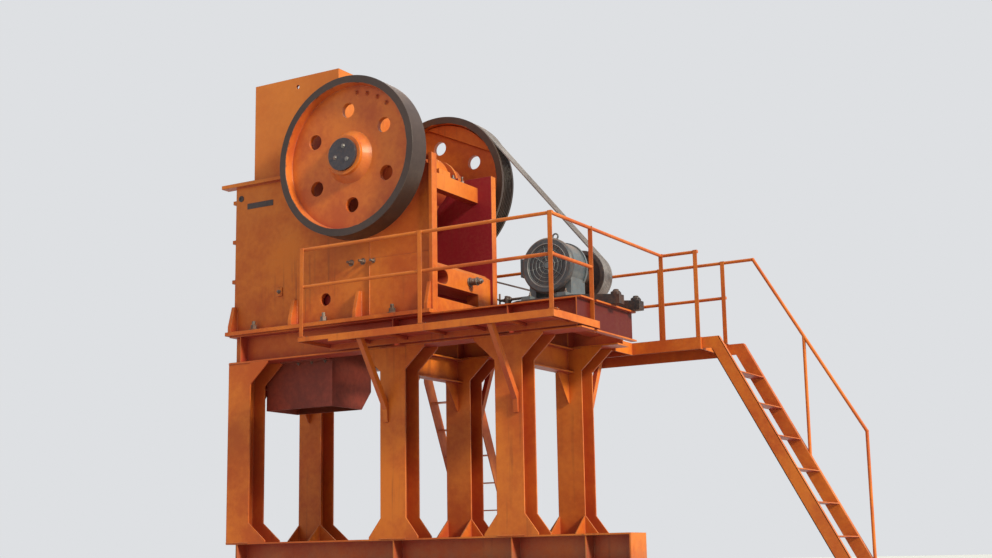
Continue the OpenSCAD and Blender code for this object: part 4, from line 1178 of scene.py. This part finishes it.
CHUTE_BOLTS = 5
CHUTE_FLANGE_Y = 0.385
chute_x = low("discharge_chute").x
chute_step = (high("discharge_chute").x - chute_x - 0.16) / (CHUTE_BOLTS - 1)
for y in (-CHUTE_FLANGE_Y, CHUTE_FLANGE_Y):
    for k in range(CHUTE_BOLTS):
        x = chute_x + 0.10 + k * chute_step
        if x > COLUMNS[0] + 0.42:
            anchors.bolt(here(x, y, DECK_Z - 0.312), -ALONG_Z, 0.014, 0.8, 0.012)
anchors.done("anchor_bolts", BOLT_STEEL, "frame", "bare_steel")

# %% [markdown]
# ## Stair treads
#
# Each tread has a rounded nose and three raised bars, so that boots do not slip, and a weld at
# either end. The treads follow the slope of the stair, so one loop makes them all.

# %% Tread grips
STAIR_SLOPE = math.tan(math.radians(61.3))
STEP_X = high("walkway").x + 0.03
TREADS = 6
tread_low = low("stair_treads")
tread_high = high("stair_treads")
RISE = (tread_high.z - tread_low.z - 0.012) / (TREADS - 1)
NEAR_END = tread_low.y + 0.001
FAR_END = tread_high.y - 0.001
grips = Fittings()
for k in range(TREADS):
    z = tread_high.z - k * RISE
    x = STEP_X + (FLOOR_Z - z) / STAIR_SLOPE + 0.006
    for along in (0.030, 0.074, 0.118):
        grip_low = here(x + along - 0.004, tread_low.y + 0.03, z - 0.001)
        grips.slab(grip_low, here(x + along + 0.004, tread_high.y - 0.03, z + 0.003), 0.0015)
    grips.tube([here(x + 0.145, y, z - 0.006) for y in (NEAR_END, FAR_END)], 0.007, 8)
    for y in (NEAR_END, FAR_END):
        grips.bead(here(x + 0.004, y, z - 0.013), here(x + 0.14, y, z - 0.013), 0.005)
grips.done("tread_grips", FLOOR_PAINT, "frame", "frame_paint")

# %% [markdown]
# ## Flanges of the stair stringers
#
# The stringers are rolled channels. Their webs come from the CAD model, and two flat bars, which
# slope as the stair does, make the flanges of each. A vector along the slope and one square to it
# place them, which is simpler than to turn a box.

# %% Stringer flanges
FLANGE_W = 0.048
FLANGE_T = 0.008
WEB_W = 0.13
FOOT = 0.03
slant = math.hypot(1, STAIR_SLOPE)
square = Vector((STAIR_SLOPE / slant, 0, 1 / slant))
web_run = WEB_W * slant / STAIR_SLOPE
flanges = Fittings()
for y in (low("stair_stringers").y, high("stair_stringers").y):
    for shift, top_z, inward in ((web_run, FLOOR_Z, -1), (0.0, FLOOR_Z - WEB_W, 1)):
        start = here(STEP_X + shift + (FLOOR_Z - top_z) / STAIR_SLOPE, y, top_z)
        end = here(STEP_X + shift + (FLOOR_Z - FOOT) / STAIR_SLOPE, y, FOOT)
        flanges.strip(start, end, ALONG_Y * FLANGE_W, square * FLANGE_T * inward)
flanges.done("stringer_flanges", RAIL_PAINT, "frame", "frame_paint")

# %% [markdown]
# ## Post feet and floor joists
#
# Each handrail post of the near platform and of the walkway has a foot plate with two bolts.
# Flat joists stand under the near platform's floor, at even steps, and show from below. The posts
# are found from the boxes of their railings, so the plates sit under them.

# %% Post feet and floor joists
POST_W = 0.045


def post_row(railing, y, inward):
    """The first, middle and last post of a railing, with the way to its floor."""
    first = low(railing).x
    last = high(railing).x
    middle = (first + last - POST_W) / 2
    return [(x, y, inward) for x in (first, middle, last - POST_W)]


posts = post_row("railing_near", low("railing_near").y, 1)
posts += post_row("walkway_railing", high("walkway_railing").y, -1)
feet = Fittings()
foot_bolts = Fittings()
for x, y, inward in posts:
    feet.slab(here(x - 0.014, y, FLOOR_Z), here(x + 0.059, y + inward * 0.082, FLOOR_Z + 0.006))
    for bolt_x in (x, x + POST_W):
        place = here(bolt_x, y + inward * 0.066, FLOOR_Z + 0.006)
        foot_bolts.bolt(place, ALONG_Z, 0.007, 0.7, 0.006)

JOIST_STEP = 0.45
JOIST_END_Y = -0.668
platform_low = low("platform_near")
x = platform_low.x + 0.5
while x < high("platform_near").x - 0.1:
    joist_low = here(x, platform_low.y + 0.008, FLOOR_Z - 0.044)
    feet.slab(joist_low, here(x + 0.006, JOIST_END_Y, FLOOR_Z - 0.010), 0.001)
    x += JOIST_STEP
feet.done("post_feet_and_joists", PAINT, "frame", "frame_paint")
foot_bolts.done("post_foot_bolts", BOLT_STEEL, "frame", "bare_steel")
